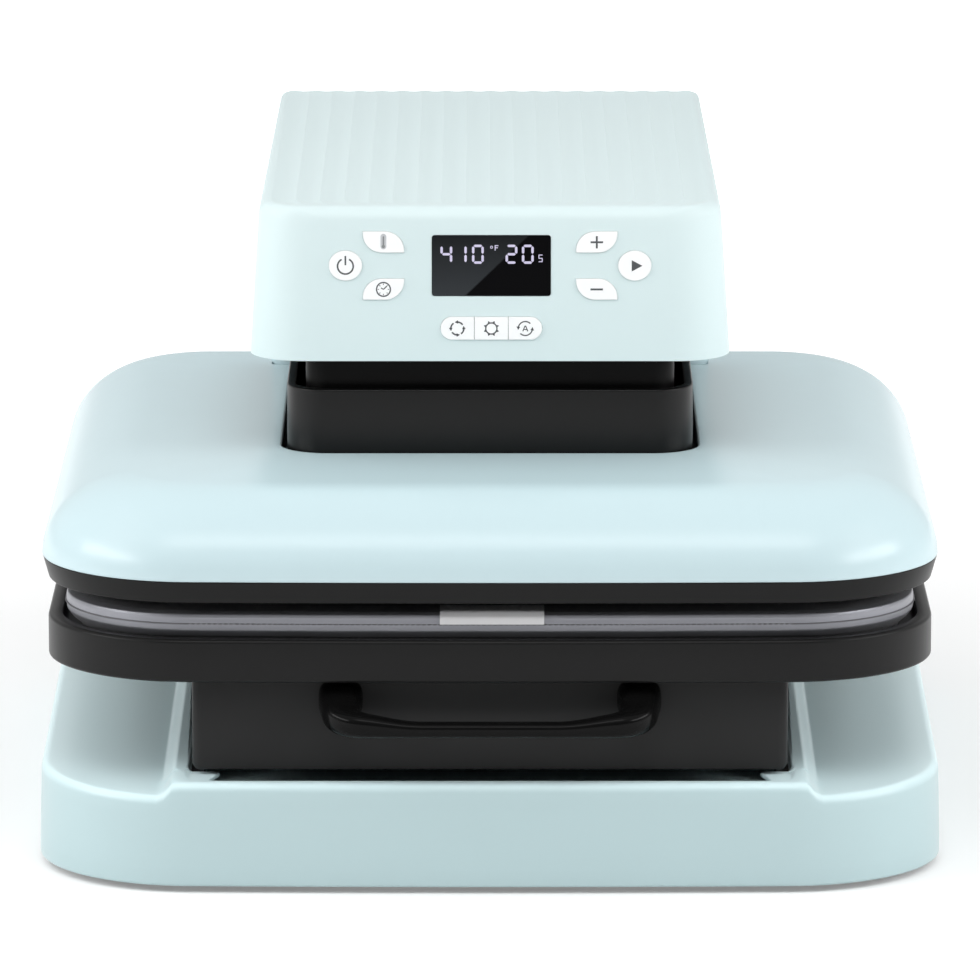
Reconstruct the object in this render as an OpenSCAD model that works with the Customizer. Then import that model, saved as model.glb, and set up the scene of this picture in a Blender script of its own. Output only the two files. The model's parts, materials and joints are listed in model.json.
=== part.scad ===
// Flat heat press: a motor-driven upper platen under a fixed head, over a pad on a pull-out drawer.
// Millimetres. +X is to the right, -Y to the front, +Z up. The origin is on the floor, midway front to back.

/* [Pad and plan] */
// Width of the press pad
pad_w = 381; // [360:1:400]
// Depth of the press pad
pad_d = 381; // [360:1:400]
// Plan radius of the pad's corners
pad_r = 57; // [45:1:80]
// How far the front edges fall back from their middle to their corners
front_bow = 4; // [0:0.5:8]
// Margin of the base round the pad
base_margin = 11.5; // [10:0.5:18]
// Margin of the platen cover round the pad
cover_margin = 9.5; // [8:0.5:10]
// Margin of the tray round the pad
tray_margin = 7; // [6:0.5:9]
// Margin of the platen rim's lower edge round the pad
rim_margin = 6.5; // [4.5:0.5:7]

/* [Base] */
// Height of the rubber feet below the base
foot_h = 3; // [2:0.5:6]
// Diameter of the rubber feet
foot_dia = 24; // [16:1:30]
// Height of the base's middle ledge at the front
ledge_h = 48; // [44:1:60]
// Drop from the middle ledge to the side shoulders
shoulder_drop = 7.8; // [4:0.2:9]
// Rise of the ledge and shoulders from front to back
shoulder_rise = 18; // [4:1:26]
// Width of the sloped ridge between ledge and shoulder
ridge_w = 6.5; // [4:0.5:10]
// Wall of the plastic housings
wall = 3; // [2.6:0.1:3.6]
// Room in the drawer well beside the rails' brackets
well_gap = 4; // [3:0.5:8]
// How far the well narrows on each side at its front
mouth_inset = 17; // [10:1:30]
// Depth of the well's floor below the ledge
well_drop = 9; // [7:0.5:12]
// Thickness of the front lip before the well
lip_t = 9; // [6:0.5:12]
// Thickness of the steel base plate
base_plate_t = 2; // [1.5:0.1:3]

/* [Drawer] */
// Gap between the ledge and the drawer front
drawer_gap = 0.9; // [0.6:0.1:2]
// How far the drawer front reaches past the rails on each side
front_over = 4.5; // [3:0.5:8]
// Visible height of the drawer front
front_h = 42.5; // [40:0.5:50]
// Thickness of the drawer front
front_t = 8; // [6:0.5:10]
// Setback of the drawer front behind the base's front
front_setback = 20; // [16:0.5:26]
// Travel of the drawer
drawer_travel = 300; // [200:5:320]
// Width of the drawer carriage
carriage_w = 230; // [220:1:232]
// Sheet thickness of the carriage
carriage_t = 2; // [1.5:0.1:3]
// Length of the drawer rails
rail_len = 344; // [320:1:346]
// Sheet thickness of the drawer rails
rail_t = 1.5; // [1.2:0.1:1.6]
// Height of the moving rail
rail_h = 22; // [18:1:24]
// Width of the handle over its legs
handle_w = 147; // [110:1:180]
// Diameter of the handle's bar
handle_dia = 9; // [8:0.5:12]
// How far the handle stands out from the drawer front
handle_reach = 28; // [24:1:34]
// Drop of the handle from its roots to its bar
handle_drop = 6; // [3:0.5:9]
// Height of the handle's roots above the drawer front's lower edge
handle_h = 29; // [26:0.5:32]

/* [Tray and pad] */
// Height of the tray
tray_h = 19.4; // [17:0.2:24]
// Depth of the pad's seat in the tray
pad_seat = 9.6; // [8:0.2:11]
// Thickness of the pad at its crown
pad_t = 20.8; // [18:0.2:24]
// Height of the sewn seam above the tray's top
seam_h = 5.9; // [4:0.1:6.5]
// Width of the tag over the pad's front edge
tag_w = 46; // [30:1:60]
// Height of the tag's front face
tag_h = 5.4; // [4:0.2:6]

/* [Upper platen] */
// Gap between the pad and the heat plate when raised
press_gap = 5.2; // [5:0.1:14]
// How far the rim hangs below the heat plate
rim_drop = 0.2; // [0:0.1:0.3]
// Height of the rim
rim_h = 10; // [9:0.5:14]
// Height of the cover
cover_h = 40; // [38:0.5:46]
// Rise of the cover's crown
cover_crown = 3; // [1:0.5:5]
// Width of the cover's rounded edge
cover_round = 44; // [36:1:48]
// Thickness of the heat plate
plate_t = 8; // [6:0.5:8.5]
// Diameter of the heating tube
heater_dia = 7; // [6:0.5:8]
// Thickness of the insulation board
board_t = 4.5; // [4:0.5:5]
// Thickness of the pressure plate
pressure_t = 6; // [5:0.5:8]

/* [Ram] */
// Width of the outer sleeve
sleeve_w = 183; // [176:1:190]
// Depth of the outer sleeve
sleeve_d = 204; // [196:1:210]
// Corner radius of the outer sleeve
sleeve_r = 19; // [15:1:24]
// Wall of the sleeves
sleeve_t = 4; // [3:0.2:5]
// Gap between the outer and the inner sleeve
sleeve_gap = 4.5; // [3:0.2:6]
// Height of the outer sleeve above the cover
sleeve_h = 29.5; // [24:0.5:32]
// Overlap of the inner sleeve inside the outer one
sleeve_overlap = 24; // [20:1:30]
// Diameter of the guide rods
rod_dia = 12; // [10:0.5:14]
// Diameter of the lead screw
screw_dia = 14; // [12:0.5:16]
// Spacing of the guide rods
rod_pitch = 120; // [116:1:126]

/* [Column and head] */
// Gap between the tray and the column
column_gap = 4.5; // [3:0.5:8]
// Depth of the column
column_d = 52; // [50:1:60]
// Base behind the column
base_tail = 4; // [3:0.5:10]
// Gap between the sleeve and the neck
neck_gap = 16; // [12:0.5:22]
// Height of the neck's underside above the rim
neck_h = 25; // [24:0.5:28]
// Gap between the outer sleeve and the head
head_gap = 14.5; // [12:0.5:18]
// How far the column's sides lie inside the head's
column_inset = 4; // [3:0.5:8]
// Width of the head at its lower edge
head_w = 216; // [212:1:224]
// Height of the head
head_h = 69; // [68:0.5:76]
// How far the head overhangs the sleeve at the front
head_over = 8; // [6:0.5:14]
// Inward draft of each side of the head over its height
head_draft = 4; // [2:0.5:5]
// Lean of the head's front over its height
head_lean = 4; // [2:0.5:6]
// Forward lean of the head's back over its height
back_lean = 12; // [6:1:14]
// Radius of the head's front corners
head_r = 22; // [16:1:26]
// Radius of the head's top edges
edge_r = 6; // [4:0.5:8]
// Number of ribs on the head's top
rib_count = 18; // [12:1:20]
// Depth of the ribs
rib_depth = 1; // [0.5:0.1:1.4]

/* [Control panel] */
// Width of the display
display_w = 53; // [46:1:58]
// Height of the display
display_h = 27.2; // [22:0.2:30]
// Height of the display's middle above the head's lower edge
panel_h = 43; // [41:0.5:45]
// Diameter of the round keys, across
round_w = 15.2; // [13:0.2:16]
// Height of the round keys
round_h = 13.6; // [11:0.2:15]
// Distance of the round keys from the middle
round_x = 64.7; // [63:0.1:67]
// Width of the leaf-shaped keys
leaf_w = 18.8; // [16:0.2:19]
// Height of the leaf-shaped keys
leaf_h = 9.6; // [8:0.2:10.4]
// Distance of the leaf-shaped keys from the middle
leaf_x = 47.8; // [46:0.1:49]
// Height of the leaf-shaped keys above and below the display's middle
leaf_y = 10.6; // [10.4:0.1:12]
// Width of the row of three keys
row_w = 45.6; // [40:0.2:52]
// Height of the row of three keys
row_h = 10.3; // [8:0.2:11]
// Distance of the row below the display's middle
row_y = 28.2; // [26:0.2:29]
// How far the keys stand proud
key_proud = 0.9; // [0.8:0.1:1.4]
// Travel of the keys
key_travel = 0.8; // [0.5:0.1:0.8]

/* [Hidden] */
$fn = 64;

// Clearances
run_gap = 0.3;
fit_gap = 0.2;
bore_gap = 0.05;
hole_gap = 1;
pocket_gap = 3;
pad_gap = 0.5;
// How far a cutting body reaches past what it cuts
cut = 1;

// Colours
aqua = [0.78, 0.88, 0.89];
black = [0.13, 0.13, 0.13];
steel = [0.62, 0.63, 0.65];
white = [0.94, 0.94, 0.94];
green = [0.1, 0.35, 0.2];

// Depths, measured back from the front edge of the base
pad_front = base_margin;
pad_mid = pad_front + pad_d / 2;
tray_back = pad_front + pad_d + tray_margin;
column_front = tray_back + column_gap;
column_back = column_front + column_d;
base_d = column_back + base_tail;
sleeve_front = pad_mid - sleeve_d / 2;
sleeve_back = pad_mid + sleeve_d / 2;
neck_front = sleeve_back + neck_gap;
head_front = sleeve_front - head_over;
head_d = column_back - head_front;
handle_tilt = atan(handle_drop / handle_reach);
handle_front = front_setback - handle_reach * cos(handle_tilt) - handle_dia / 2;
origin_d = (base_d + min(0, handle_front)) / 2;
well_back = tray_back;

// Widths
base_w = pad_w + 2 * base_margin;
column_w = head_w - 2 * column_inset;

// Heights above the floor
plate_recess = 1;
ledge_z = foot_h + ledge_h;
shoulder_z = ledge_z - shoulder_drop;
well_z = ledge_z - well_drop;
cavity_z = well_z - wall;
base_plate_z = foot_h + plate_recess;
floor_z = base_plate_z + base_plate_t;
drawer_z = ledge_z + drawer_gap;
tray_z = drawer_z + front_h;
tray_top = tray_z + tray_h;
pad_z = tray_top - pad_seat + fit_gap;
tray_floor_z = tray_top - pad_seat - wall;
pad_top = pad_z + pad_t;
plate_z = pad_top + press_gap;
plate_top = plate_z + plate_t;
rim_z = plate_z - rim_drop;
cover_z = rim_z + rim_h;
cover_top = cover_z + cover_h;
heater_z = plate_top + heater_dia / 2;
board_z = plate_top + heater_dia + fit_gap;
pressure_z = board_z + board_t;
pressure_top = pressure_z + pressure_t;
sleeve_top = cover_top - cover_crown / 2 + sleeve_h;
head_z = sleeve_top + head_gap;
head_top = head_z + head_h;
neck_z = cover_z + neck_h;
pocket_z = neck_z - pocket_gap;
inner_sleeve_z = sleeve_top - sleeve_overlap;

// Shapes in plan and profile
arc_steps = 10;
front_steps = 6;

function fy(depth) = depth - origin_d;

// Points of an arc from angle a to angle b
function arc(x, y, r, a, b, steps = arc_steps) =
    [for (i = [0:steps]) let (t = a + (b - a) * i / steps) [x + r * cos(t), y + r * sin(t)]];

// Rounded rectangle about the origin, counterclockwise from its front left
function round_rect(w, d, r, steps = arc_steps) = concat(
    arc(w / 2 - r, -d / 2 + r, r, -90, 0, steps), arc(w / 2 - r, d / 2 - r, r, 0, 90, steps),
    arc(-w / 2 + r, d / 2 - r, r, 90, 180, steps), arc(-w / 2 + r, -d / 2 + r, r, 180, 270, steps));

// The same with a front edge that falls back towards its corners
function bowed_rect(w, d, r) = [for (p = concat(
    [for (i = [1:front_steps - 1]) [(w / 2 - r) * (2 * i / front_steps - 1), -d / 2]],
    round_rect(w, d, r)))
    [p.x, p.y + front_bow * pow(2 * p.x / w, 2) * pow(max(0, -2 * p.y / d), 2)]];

// Outline of the pad grown by a margin, and of the base shrunk by an inset
function pad_outline(m) = bowed_rect(pad_w + 2 * m, pad_d + 2 * m, max(pad_r + m, 4));
function base_outline(inset) =
    bowed_rect(base_w - 2 * inset, base_d - 2 * inset, pad_r + base_margin - inset);

// Solid skinned through rings of points that all have the same number of points
module loft(rings) {
    n = len(rings[0]);
    m = len(rings);
    low = n * m;
    points = concat([for (r = rings) each r], [sum(rings[0]) / n, sum(rings[m - 1]) / n]);
    polyhedron(points, concat(
        [for (i = [0:m - 2], j = [0:n - 1]) let (a = i * n + j, b = i * n + (j + 1) % n)
            each [[a, a + n, b], [b, a + n, b + n]]],
        [for (j = [0:n - 1]) [low, j, (j + 1) % n]],
        [for (j = [0:n - 1]) [low + 1, low - n + (j + 1) % n, low - n + j]]));
}
function sum(list, i = 0) = i == len(list) - 1 ? list[i] : list[i] + sum(list, i + 1);
function at_height(outline, z) = [for (p = outline) [p.x, p.y, z]];

// Prisms: plan outline from one height up, side profile across the width, front view back in depth
module upright(outline, z, h) translate([0, 0, z]) linear_extrude(h) polygon(outline);
module at_pad() translate([0, fy(pad_mid), 0]) children();
module pad_prism(margin, z, h) at_pad() upright(pad_outline(margin), z, h);
module across(profile, w) translate([-w / 2, 0, 0]) rotate([90, 0, 90]) linear_extrude(w)
    polygon([for (p = profile) [fy(p.x), p.y]]);
module block(x, depth, z) translate([x[0], fy(depth[0]), z[0]])
    cube([x[1] - x[0], depth[1] - depth[0], z[1] - z[0]]);
module lengthwise(view, depth, length) translate([0, fy(depth), 0]) rotate([90, 0, 0])
    translate([0, 0, -length]) linear_extrude(length) polygon(view);
module post(x, depth, z, h, r) translate([x, fy(depth), z]) cylinder(h = h, r = r);
module mirrored_x() {
    children();
    mirror([1, 0, 0]) children();
}
module at_corners(x, depth, pitch) for (s = [-1, 1], t = [-1, 1])
    translate([s * x, fy(depth + t * pitch), 0]) children();

// Base
base_edge = 3;
// Where the middle ring of a rounded edge lies, as a share of its radius
edge_mid = 0.3;
ridge_top = 2;
foot_inset_x = 42;
foot_inset_d = 60;
foot_recess = 2;
foot_head_t = 1;
foot_screw_len = 9;
feet_x = base_w / 2 - foot_inset_x;
feet_mid = base_d / 2;
feet_pitch = base_d / 2 - foot_inset_d;
rise_angle = atan(shoulder_rise / base_d);
frame_w = 160;
frame_t = 4;
frame_room = 5;
frame_front = column_front + wall + frame_room;
frame_back = column_back - wall - frame_room;
frame_foot_t = 6;
bolt_r = 3;
bolt_head_r = 6;
bolt_head_t = 4;
frame_bolt_inset = 15;
frame_bolt_x = frame_w / 2 - frame_bolt_inset;
frame_bolt_d = (frame_front + frame_t + frame_back) / 2;

module base_shell() color(aqua) difference() {
    rise = shoulder_rise / base_d;
    rings = [[base_edge, foot_h, 0], [base_edge * edge_mid, foot_h + base_edge * edge_mid, 0],
        [0, foot_h + base_edge, 0], [0, ledge_z - base_edge, 1],
        [base_edge * edge_mid, ledge_z - base_edge * edge_mid, 1], [base_edge, ledge_z, 1]];
    translate([0, fy(base_d / 2), 0]) loft([for (r = rings)
        [for (p = base_outline(r[0])) [p.x, p.y, r[1] + r[2] * rise * (p.y + base_d / 2)]]]);
    mirrored_x() translate([0, fy(0), 0]) rotate([rise_angle, 0, 0]) translate([0, -fy(0), 0])
        lengthwise([[well_w / 2 + ridge_top - ridge_w, ledge_z + shoulder_drop],
            [well_w / 2 + ridge_top, ledge_z], [well_w / 2 + ridge_top + ridge_w, shoulder_z],
            [base_w, shoulder_z], [base_w, ledge_z + shoulder_drop]], -base_d, 3 * base_d);
    block([-well_w / 2, well_w / 2], [carriage_front, well_back], [well_z, 2 * ledge_z]);
    block([-well_w / 2 + mouth_inset, well_w / 2 - mouth_inset], [lip_t, well_back], [well_z, 2 * ledge_z]);
    block([-well_w / 2, well_w / 2], [front_setback - hole_gap, well_back], [ledge_z, 2 * ledge_z]);
    block([-column_w / 2 - run_gap, column_w / 2 + run_gap], [column_front - run_gap, base_d + cut],
        [ledge_z, 2 * ledge_z]);
    translate([0, fy(base_d / 2), 0]) upright(base_outline(wall), 0, cavity_z);
    block([-frame_w / 2 - hole_gap, frame_w / 2 + hole_gap], [frame_front - hole_gap, frame_back + hole_gap],
        [cavity_z - cut, 2 * ledge_z]);
}

module base_plate() color(steel) difference() {
    translate([0, fy(base_d / 2), 0]) upright(base_outline(wall + fit_gap), base_plate_z, base_plate_t);
    at_corners(feet_x, feet_mid, feet_pitch) cylinder(h = floor_z + cut, r = bolt_r);
    for (s = [-1, 1]) post(s * frame_bolt_x, frame_bolt_d, 0, floor_z + cut, bolt_r + fit_gap);
}

module rubber_feet() color(black) at_corners(feet_x, feet_mid, feet_pitch) difference() {
    cylinder(h = base_plate_z, d = foot_dia);
    cylinder(h = foot_recess, r = bolt_head_r + fit_gap);
    cylinder(h = base_plate_z + cut, r = bolt_r);
}

module foot_screws() color(steel) at_corners(feet_x, feet_mid, feet_pitch) {
    translate([0, 0, foot_recess - foot_head_t]) cylinder(h = foot_head_t, r = bolt_head_r);
    translate([0, 0, foot_recess - foot_head_t]) cylinder(h = foot_screw_len, r = bolt_r - fit_gap);
}

// Column: an upright steel channel in a plastic housing with a neck that reaches over the platen
neck_round = 10;
inlet_x = -45;
rocker_x = 45;
socket_rise = 44;
socket_z = ledge_z + socket_rise;
panel_t = 3;
panel_ledge = 10;
// The sides are thicker than the walls, behind the rounded corners
column_side = wall + neck_round * 0.4;
panel_w = column_w - 2 * wall - 2 * fit_gap;
panel_screw_inset = 7;
panel_screw_x = panel_w / 2 - panel_screw_inset;
panel_screw_r = 1.5;
panel_head_t = 2;
inlet_w = 27.4;
inlet_h = 20;
vent_w = 60;
vent_h = 4;
vent_x = 36;
vent_pitch = 9;
vent_rise = 38;
vent_count = 7;

module column_shell() color(aqua) difference() {
    intersection() {
        across([[neck_front, neck_z], [neck_front, head_z], [column_back, head_z], [column_back, ledge_z],
            [column_front, ledge_z], [column_front, neck_z]], column_w);
        translate([0, fy((neck_front + column_back) / 2), 0])
            upright(round_rect(column_w, column_back - neck_front, neck_round), 0, head_top);
    }
    across([[neck_front + wall, neck_z + wall], [neck_front + wall, head_z + cut],
        [column_back - panel_t - wall, head_z + cut], [column_back - panel_t - wall, ledge_z - cut],
        [column_front + wall, ledge_z - cut], [column_front + wall, neck_z + wall]],
        column_w - 2 * column_side);
    block([-panel_w / 2 - fit_gap, panel_w / 2 + fit_gap], [column_back - panel_t, column_back + cut],
        [ledge_z - cut, head_z + cut]);
    block([-panel_w / 2 + panel_ledge, panel_w / 2 - panel_ledge],
        [column_back - panel_t - wall - cut, column_back], [ledge_z - cut, head_z + cut]);
}

module rear_panel() color(aqua) difference() {
    through = [column_back - 2 * panel_t, column_back + cut];
    block([-panel_w / 2, panel_w / 2], [column_back - panel_t, column_back],
        [ledge_z + fit_gap, head_z - fit_gap]);
    for (x = [inlet_x, rocker_x]) block([x - inlet_w / 2 - fit_gap, x + inlet_w / 2 + fit_gap], through,
        [socket_z - inlet_h / 2 - fit_gap, socket_z + inlet_h / 2 + fit_gap]);
    for (s = [-1, 1], i = [0:vent_count - 1]) let (z = socket_z + vent_rise + i * vent_pitch)
        block([s * vent_x - vent_w / 2, s * vent_x + vent_w / 2], through, [z, z + vent_h]);
    panel_screw_places() rotate([-90, 0, 0])
        cylinder(h = 4 * panel_t, r = panel_screw_r + fit_gap, center = true);
}

module panel_screw_places() for (s = [-1, 1], z = [ledge_z + panel_screw_inset, head_z - panel_screw_inset])
    translate([s * panel_screw_x, fy(column_back), z]) children();

module panel_screws() color(steel) panel_screw_places() rotate([-90, 0, 0]) {
    cylinder(h = panel_head_t, r1 = 2 * panel_screw_r, r2 = 1.5 * panel_screw_r);
    translate([0, 0, -panel_t]) cylinder(h = panel_t, r = panel_screw_r);
}

arm_rise = 20;
arm_t = 8;
arm_z = head_z + arm_rise;
arm_top = arm_z + arm_t;
arm_w = 176;
arm_inset = 14;
arm_front = sleeve_front + arm_inset;
arm_back = frame_back - frame_t;

module column_frame() color(steel) difference() {
    union() {
        block([-frame_w / 2, frame_w / 2], [frame_front, frame_front + frame_t], [floor_z, arm_z]);
        mirrored_x() block([frame_w / 2 - frame_t, frame_w / 2], [frame_front, frame_back], [floor_z, arm_z]);
        for (z = [floor_z, arm_z - frame_foot_t])
            block([-frame_w / 2, frame_w / 2], [frame_front, frame_back], [z, z + frame_foot_t]);
    }
    for (s = [-1, 1]) post(s * frame_bolt_x, frame_bolt_d, 0, arm_z + cut, bolt_r + fit_gap);
}

module frame_bolts() color(steel) for (s = [-1, 1]) {
    post(s * frame_bolt_x, frame_bolt_d, floor_z + frame_foot_t, bolt_head_t, bolt_head_r);
    post(s * frame_bolt_x, frame_bolt_d, base_plate_z, frame_foot_t + base_plate_t, bolt_r);
    post(s * frame_bolt_x, frame_bolt_d, arm_top, bolt_head_t, bolt_head_r);
    post(s * frame_bolt_x, frame_bolt_d, arm_z - frame_foot_t, frame_foot_t + arm_t, bolt_r);
}

// Drive: motor, pinion, gear, lead screw and guides on the arm plate
gear_module = 1.5;
gear_teeth = 36;
pinion_teeth = 12;
gear_w = 10;
gear_rise = 7;
gear_z = head_z + gear_rise;
gear_hub = 5;
gear_play = 0.25;
gear_pitch_r = gear_module * gear_teeth / 2;
pinion_pitch_r = gear_module * pinion_teeth / 2;
shaft_d = pad_mid + gear_pitch_r + pinion_pitch_r;
shaft_r = 3;
shaft_len = 12;
motor_r = 22;
motor_shift = 12;
motor_d = shaft_d + motor_shift;
motor_foot = 6;
motor_foot_t = 4;
motor_h = 34;
bearing_r = 18;
bearing_h = 10;
collar_h = 4;
collar_w = 3;
bush_wall = 3;
bush_rim = 2;
screw_r = screw_dia / 2;
rod_r = rod_dia / 2;
screw_end = 4;
screw_low = pressure_top + screw_end;
rod_over = 22;
rod_top = arm_top + rod_over;

module arm_plate() color(steel) difference() {
    block([-arm_w / 2, arm_w / 2], [arm_front, arm_back], [arm_z, arm_top]);
    post(0, pad_mid, 0, head_top, screw_r + hole_gap);
    post(0, shaft_d, 0, head_top, shaft_r + hole_gap);
    at_corners(rod_pitch / 2, pad_mid, rod_pitch / 2)
        cylinder(h = head_top, r = rod_r + bush_wall + bore_gap);
    for (s = [-1, 1]) post(s * frame_bolt_x, frame_bolt_d, 0, head_top, bolt_r + fit_gap);
}

module guide_bushes() color("goldenrod") at_corners(rod_pitch / 2, pad_mid, rod_pitch / 2) difference() {
    union() {
        translate([0, 0, arm_z]) cylinder(h = arm_t + bush_rim, r = rod_r + bush_wall);
        translate([0, 0, arm_top]) cylinder(h = bush_rim, r = rod_r + bush_wall + bush_rim);
    }
    cylinder(h = head_top, r = rod_r + bore_gap);
}

module screw_bearing() color(steel) difference() {
    post(0, pad_mid, arm_top, bearing_h, bearing_r);
    post(0, pad_mid, arm_top - cut, bearing_h + 2 * cut, screw_r + bore_gap);
}

module lead_screw() color(steel) {
    post(0, pad_mid, screw_low, arm_top + bearing_h + run_gap - screw_low, screw_r);
    post(0, pad_mid, arm_top + bearing_h + run_gap, collar_h, screw_r + collar_w);
}

// Half the angle of an involute tooth at radius r, and one gear's outline with play between teeth
function involute(a) = tan(a) * 180 / PI - a;
function tooth_half(pitch_r, teeth, r) = let (base_r = pitch_r * cos(20))
    90 / teeth + involute(20) - involute(acos(min(1, base_r / r))) - gear_play / pitch_r * 90 / PI;
function gear_outline(teeth) = let (pitch_r = gear_module * teeth / 2,
    rising = [for (k = [-1.15, -0.5, 0, 0.4, 0.75]) pitch_r + k * gear_module])
    [for (i = [0:teeth - 1], s = [-1, 1], r = s < 0 ? rising : turned(rising))
        let (t = 360 * i / teeth + s * tooth_half(pitch_r, teeth, r)) [r * cos(t), r * sin(t)]];

module screw_gear() color(white) difference() {
    union() {
        translate([0, fy(pad_mid), 0]) upright(gear_outline(gear_teeth), gear_z, gear_w);
        post(0, pad_mid, gear_z, arm_z - run_gap - gear_z, screw_r + gear_hub);
    }
    post(0, pad_mid, 0, head_top, screw_r);
}

module motor_pinion() color(steel) {
    translate([0, fy(shaft_d), 0]) rotate([0, 0, 180 / pinion_teeth])
        upright(gear_outline(pinion_teeth), gear_z, gear_w);
    post(0, shaft_d, gear_z, arm_top + shaft_len - gear_z, shaft_r);
}

module gear_motor() color(black) difference() {
    union() {
        post(0, motor_d, arm_top, motor_h, motor_r);
        block([-motor_r, motor_r], [motor_d, motor_d + motor_r + motor_foot],
            [arm_top, arm_top + motor_foot_t]);
    }
    post(0, shaft_d, arm_top - cut, shaft_len + cut + run_gap, shaft_r + bore_gap);
}

// Head housing
lean = head_lean / head_h;
tilt = atan(lean);
head_taper = 2.5;
back_r = 10;
rib_points = 4;
rib_start = 10;
rib_fade = 30;
cavity_corner = 18;
cavity_w = head_w - 2 * (head_draft + head_taper + wall);

// Fall of a rounded edge of radius r at distance t from its end
function edge_fall(r, t) = t >= r ? 0 : r - sqrt(r * r - (r - t) * (r - t));
function head_half(t) = head_w / 2 - head_taper * t / head_d - edge_fall(head_r, t)
    - edge_fall(back_r, head_d - t);
function head_roof(t) = head_top - edge_fall(edge_r, t) - edge_fall(edge_r, head_d - t);
function rib_fall(x, t, half) = rib_depth / 2 * (1 - cos(360 * rib_count * x / (2 * half)))
    * min(1, max(0, (t - rib_start) / rib_fade));
function head_side(t, s) = let (half = head_half(t), roof = head_roof(t), top = half - head_draft)
    concat([[s * half, head_z]], [for (a = [0:22.5:90])
        [s * (top - edge_r + edge_r * cos(a)), roof - edge_r + edge_r * sin(a)]]);
function head_section(t) = let (half = head_half(t) - head_draft - edge_r, n = rib_count * rib_points,
    left = head_side(t, -1), right = head_side(t, 1))
    [for (p = concat(left, [for (i = [1:n - 1]) let (x = half * (2 * i / n - 1))
        [x, head_roof(t) - rib_fall(x, t, half)]], [for (i = [len(right) - 1:-1:0]) right[i]]))
        [p.x, fy(head_front + t + (p.y - head_z) * lean * (1 - t / head_d)
            - (p.y - head_z) / head_h * back_lean * t / head_d), p.y]];

// Plan of the head's inside, drawn in by t, with its front corners cut off and its back at depth d
function cavity_outline(t, d) = let (x = cavity_w / 2 - t, corner = head_r + wall)
    [for (p = [[-x + cavity_corner, wall + t], [x - cavity_corner, wall + t], [x, corner + t], [x, d],
        [-x, d], [-x, corner + t]]) [p.x, fy(head_front + p.y)]];

module head_cavity() intersection() {
    upright(cavity_outline(0, head_d), head_z - cut, head_h);
    inner_h = head_h - wall - rib_depth;
    across([[head_front + wall - lean * cut, head_z - cut],
        [head_front + wall + lean * inner_h, head_z + inner_h],
        [column_back - wall - back_lean, head_z + inner_h], [column_back - wall, head_z - cut]], head_w);
}

// Control panel, in its own frame: u to the right, v up the front, w out of it
module on_panel(u = 0, v = 0) translate([0, fy(head_front), head_z]) rotate([90 - tilt, 0, 0])
    translate([u, v, 0]) children();
module panel_prism(outline, w, h) translate([0, 0, w]) linear_extrude(h) polygon(outline);

key_gap = 0.25;
flange_w = 0.8;
key_flange_t = 1.2;
switch_h = 3.5;
switch_w = 6;
switch_top = -(wall + fit_gap + key_flange_t + key_travel + bore_gap);
board_front = switch_top - switch_h;
pcb_t = 1.6;
pcb_w = 158;
pcb_h = 57;
pcb_v = 5;
pcb_inset = 6;
display_rim = 2;
display_r = 1;
row_key = row_w / 3;
row_split = 0.5;

function oval(g) = [for (i = [0:47]) [(round_w / 2 + g) * cos(i * 7.5), (round_h / 2 + g) * sin(i * 7.5)]];
function turned(list) = [for (i = [len(list) - 1:-1:0]) list[i]];
function leaf(g, s) = let (w = leaf_w / 2 + g, h = leaf_h / 2 + g, r = leaf_h * 0.92)
    [for (p = concat([[-w, h]], turned(arc(w - r, h - r, r, 0, 90)), [[w, -h]],
        turned(arc(-w + r, -h + r, r, 180, 270)))) [s * p.x, p.y]];
function row_end(g, s) = let (w = row_key / 2 - row_split / 2 + g, h = row_h / 2 + g)
    [for (p = concat([[w, -h], [w, h]], arc(-w + h, 0, h, 90, 270))) [s * p.x, p.y]];
function row_middle(g) = let (w = row_key / 2 - row_split / 2 + g, h = row_h / 2 + g)
    [[-w, -h], [w, -h], [w, h], [-w, h]];
// Every key's outline, grown by g, and its place on the panel
function key_shapes(g) = [oval(g), leaf(g, 1), leaf(g, -1), leaf(g, -1), leaf(g, 1), oval(g),
    row_end(g, 1), row_middle(g), row_end(g, -1)];
key_places = [[-round_x, panel_h], [-leaf_x, panel_h + leaf_y], [-leaf_x, panel_h - leaf_y],
    [leaf_x, panel_h + leaf_y], [leaf_x, panel_h - leaf_y], [round_x, panel_h],
    [-row_key, panel_h - row_y], [0, panel_h - row_y], [row_key, panel_h - row_y]];
boss_u = pcb_w / 2 - pcb_inset;
boss_v = [pcb_v + pcb_inset, pcb_v + pcb_h - pcb_inset];
boss_r = 3;
boss_hole_r = 1.5;

module head_shell() color(aqua) {
    difference() {
        loft([for (t = concat([for (a = [0:15:90]) head_r * (1 - cos(a))], [head_r + 20, head_d / 2],
            [for (a = [90:-22.5:0]) head_d - back_r * (1 - cos(a))])) head_section(t)]);
        head_cavity();
        for (i = [0:8]) on_panel(key_places[i][0], key_places[i][1])
            panel_prism(key_shapes(key_gap)[i], -2 * wall, 4 * wall);
        on_panel(0, panel_h) panel_prism(
            round_rect(display_w + 2 * fit_gap, display_h + 2 * fit_gap, display_r), -2 * wall, 4 * wall);
    }
    for (s = [-1, 1], v = boss_v) on_panel(s * boss_u, v)
        translate([0, 0, board_front]) cylinder(h = -board_front - wall / 2, r = boss_r);
}

floor_lip = 6;
module head_floor() color(black) difference() {
    upright(cavity_outline(run_gap, head_d - wall - hole_gap), head_z, wall);
    at_pad() upright(round_rect(sleeve_inner_w - 2 * floor_lip, sleeve_inner_d - 2 * floor_lip, floor_lip),
        head_z - cut, wall + 2 * cut);
    block([-frame_w / 2 - hole_gap, frame_w / 2 + hole_gap], [frame_front - hole_gap, head_front + head_d],
        [head_z - cut, head_z + wall + cut]);
}

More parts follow.
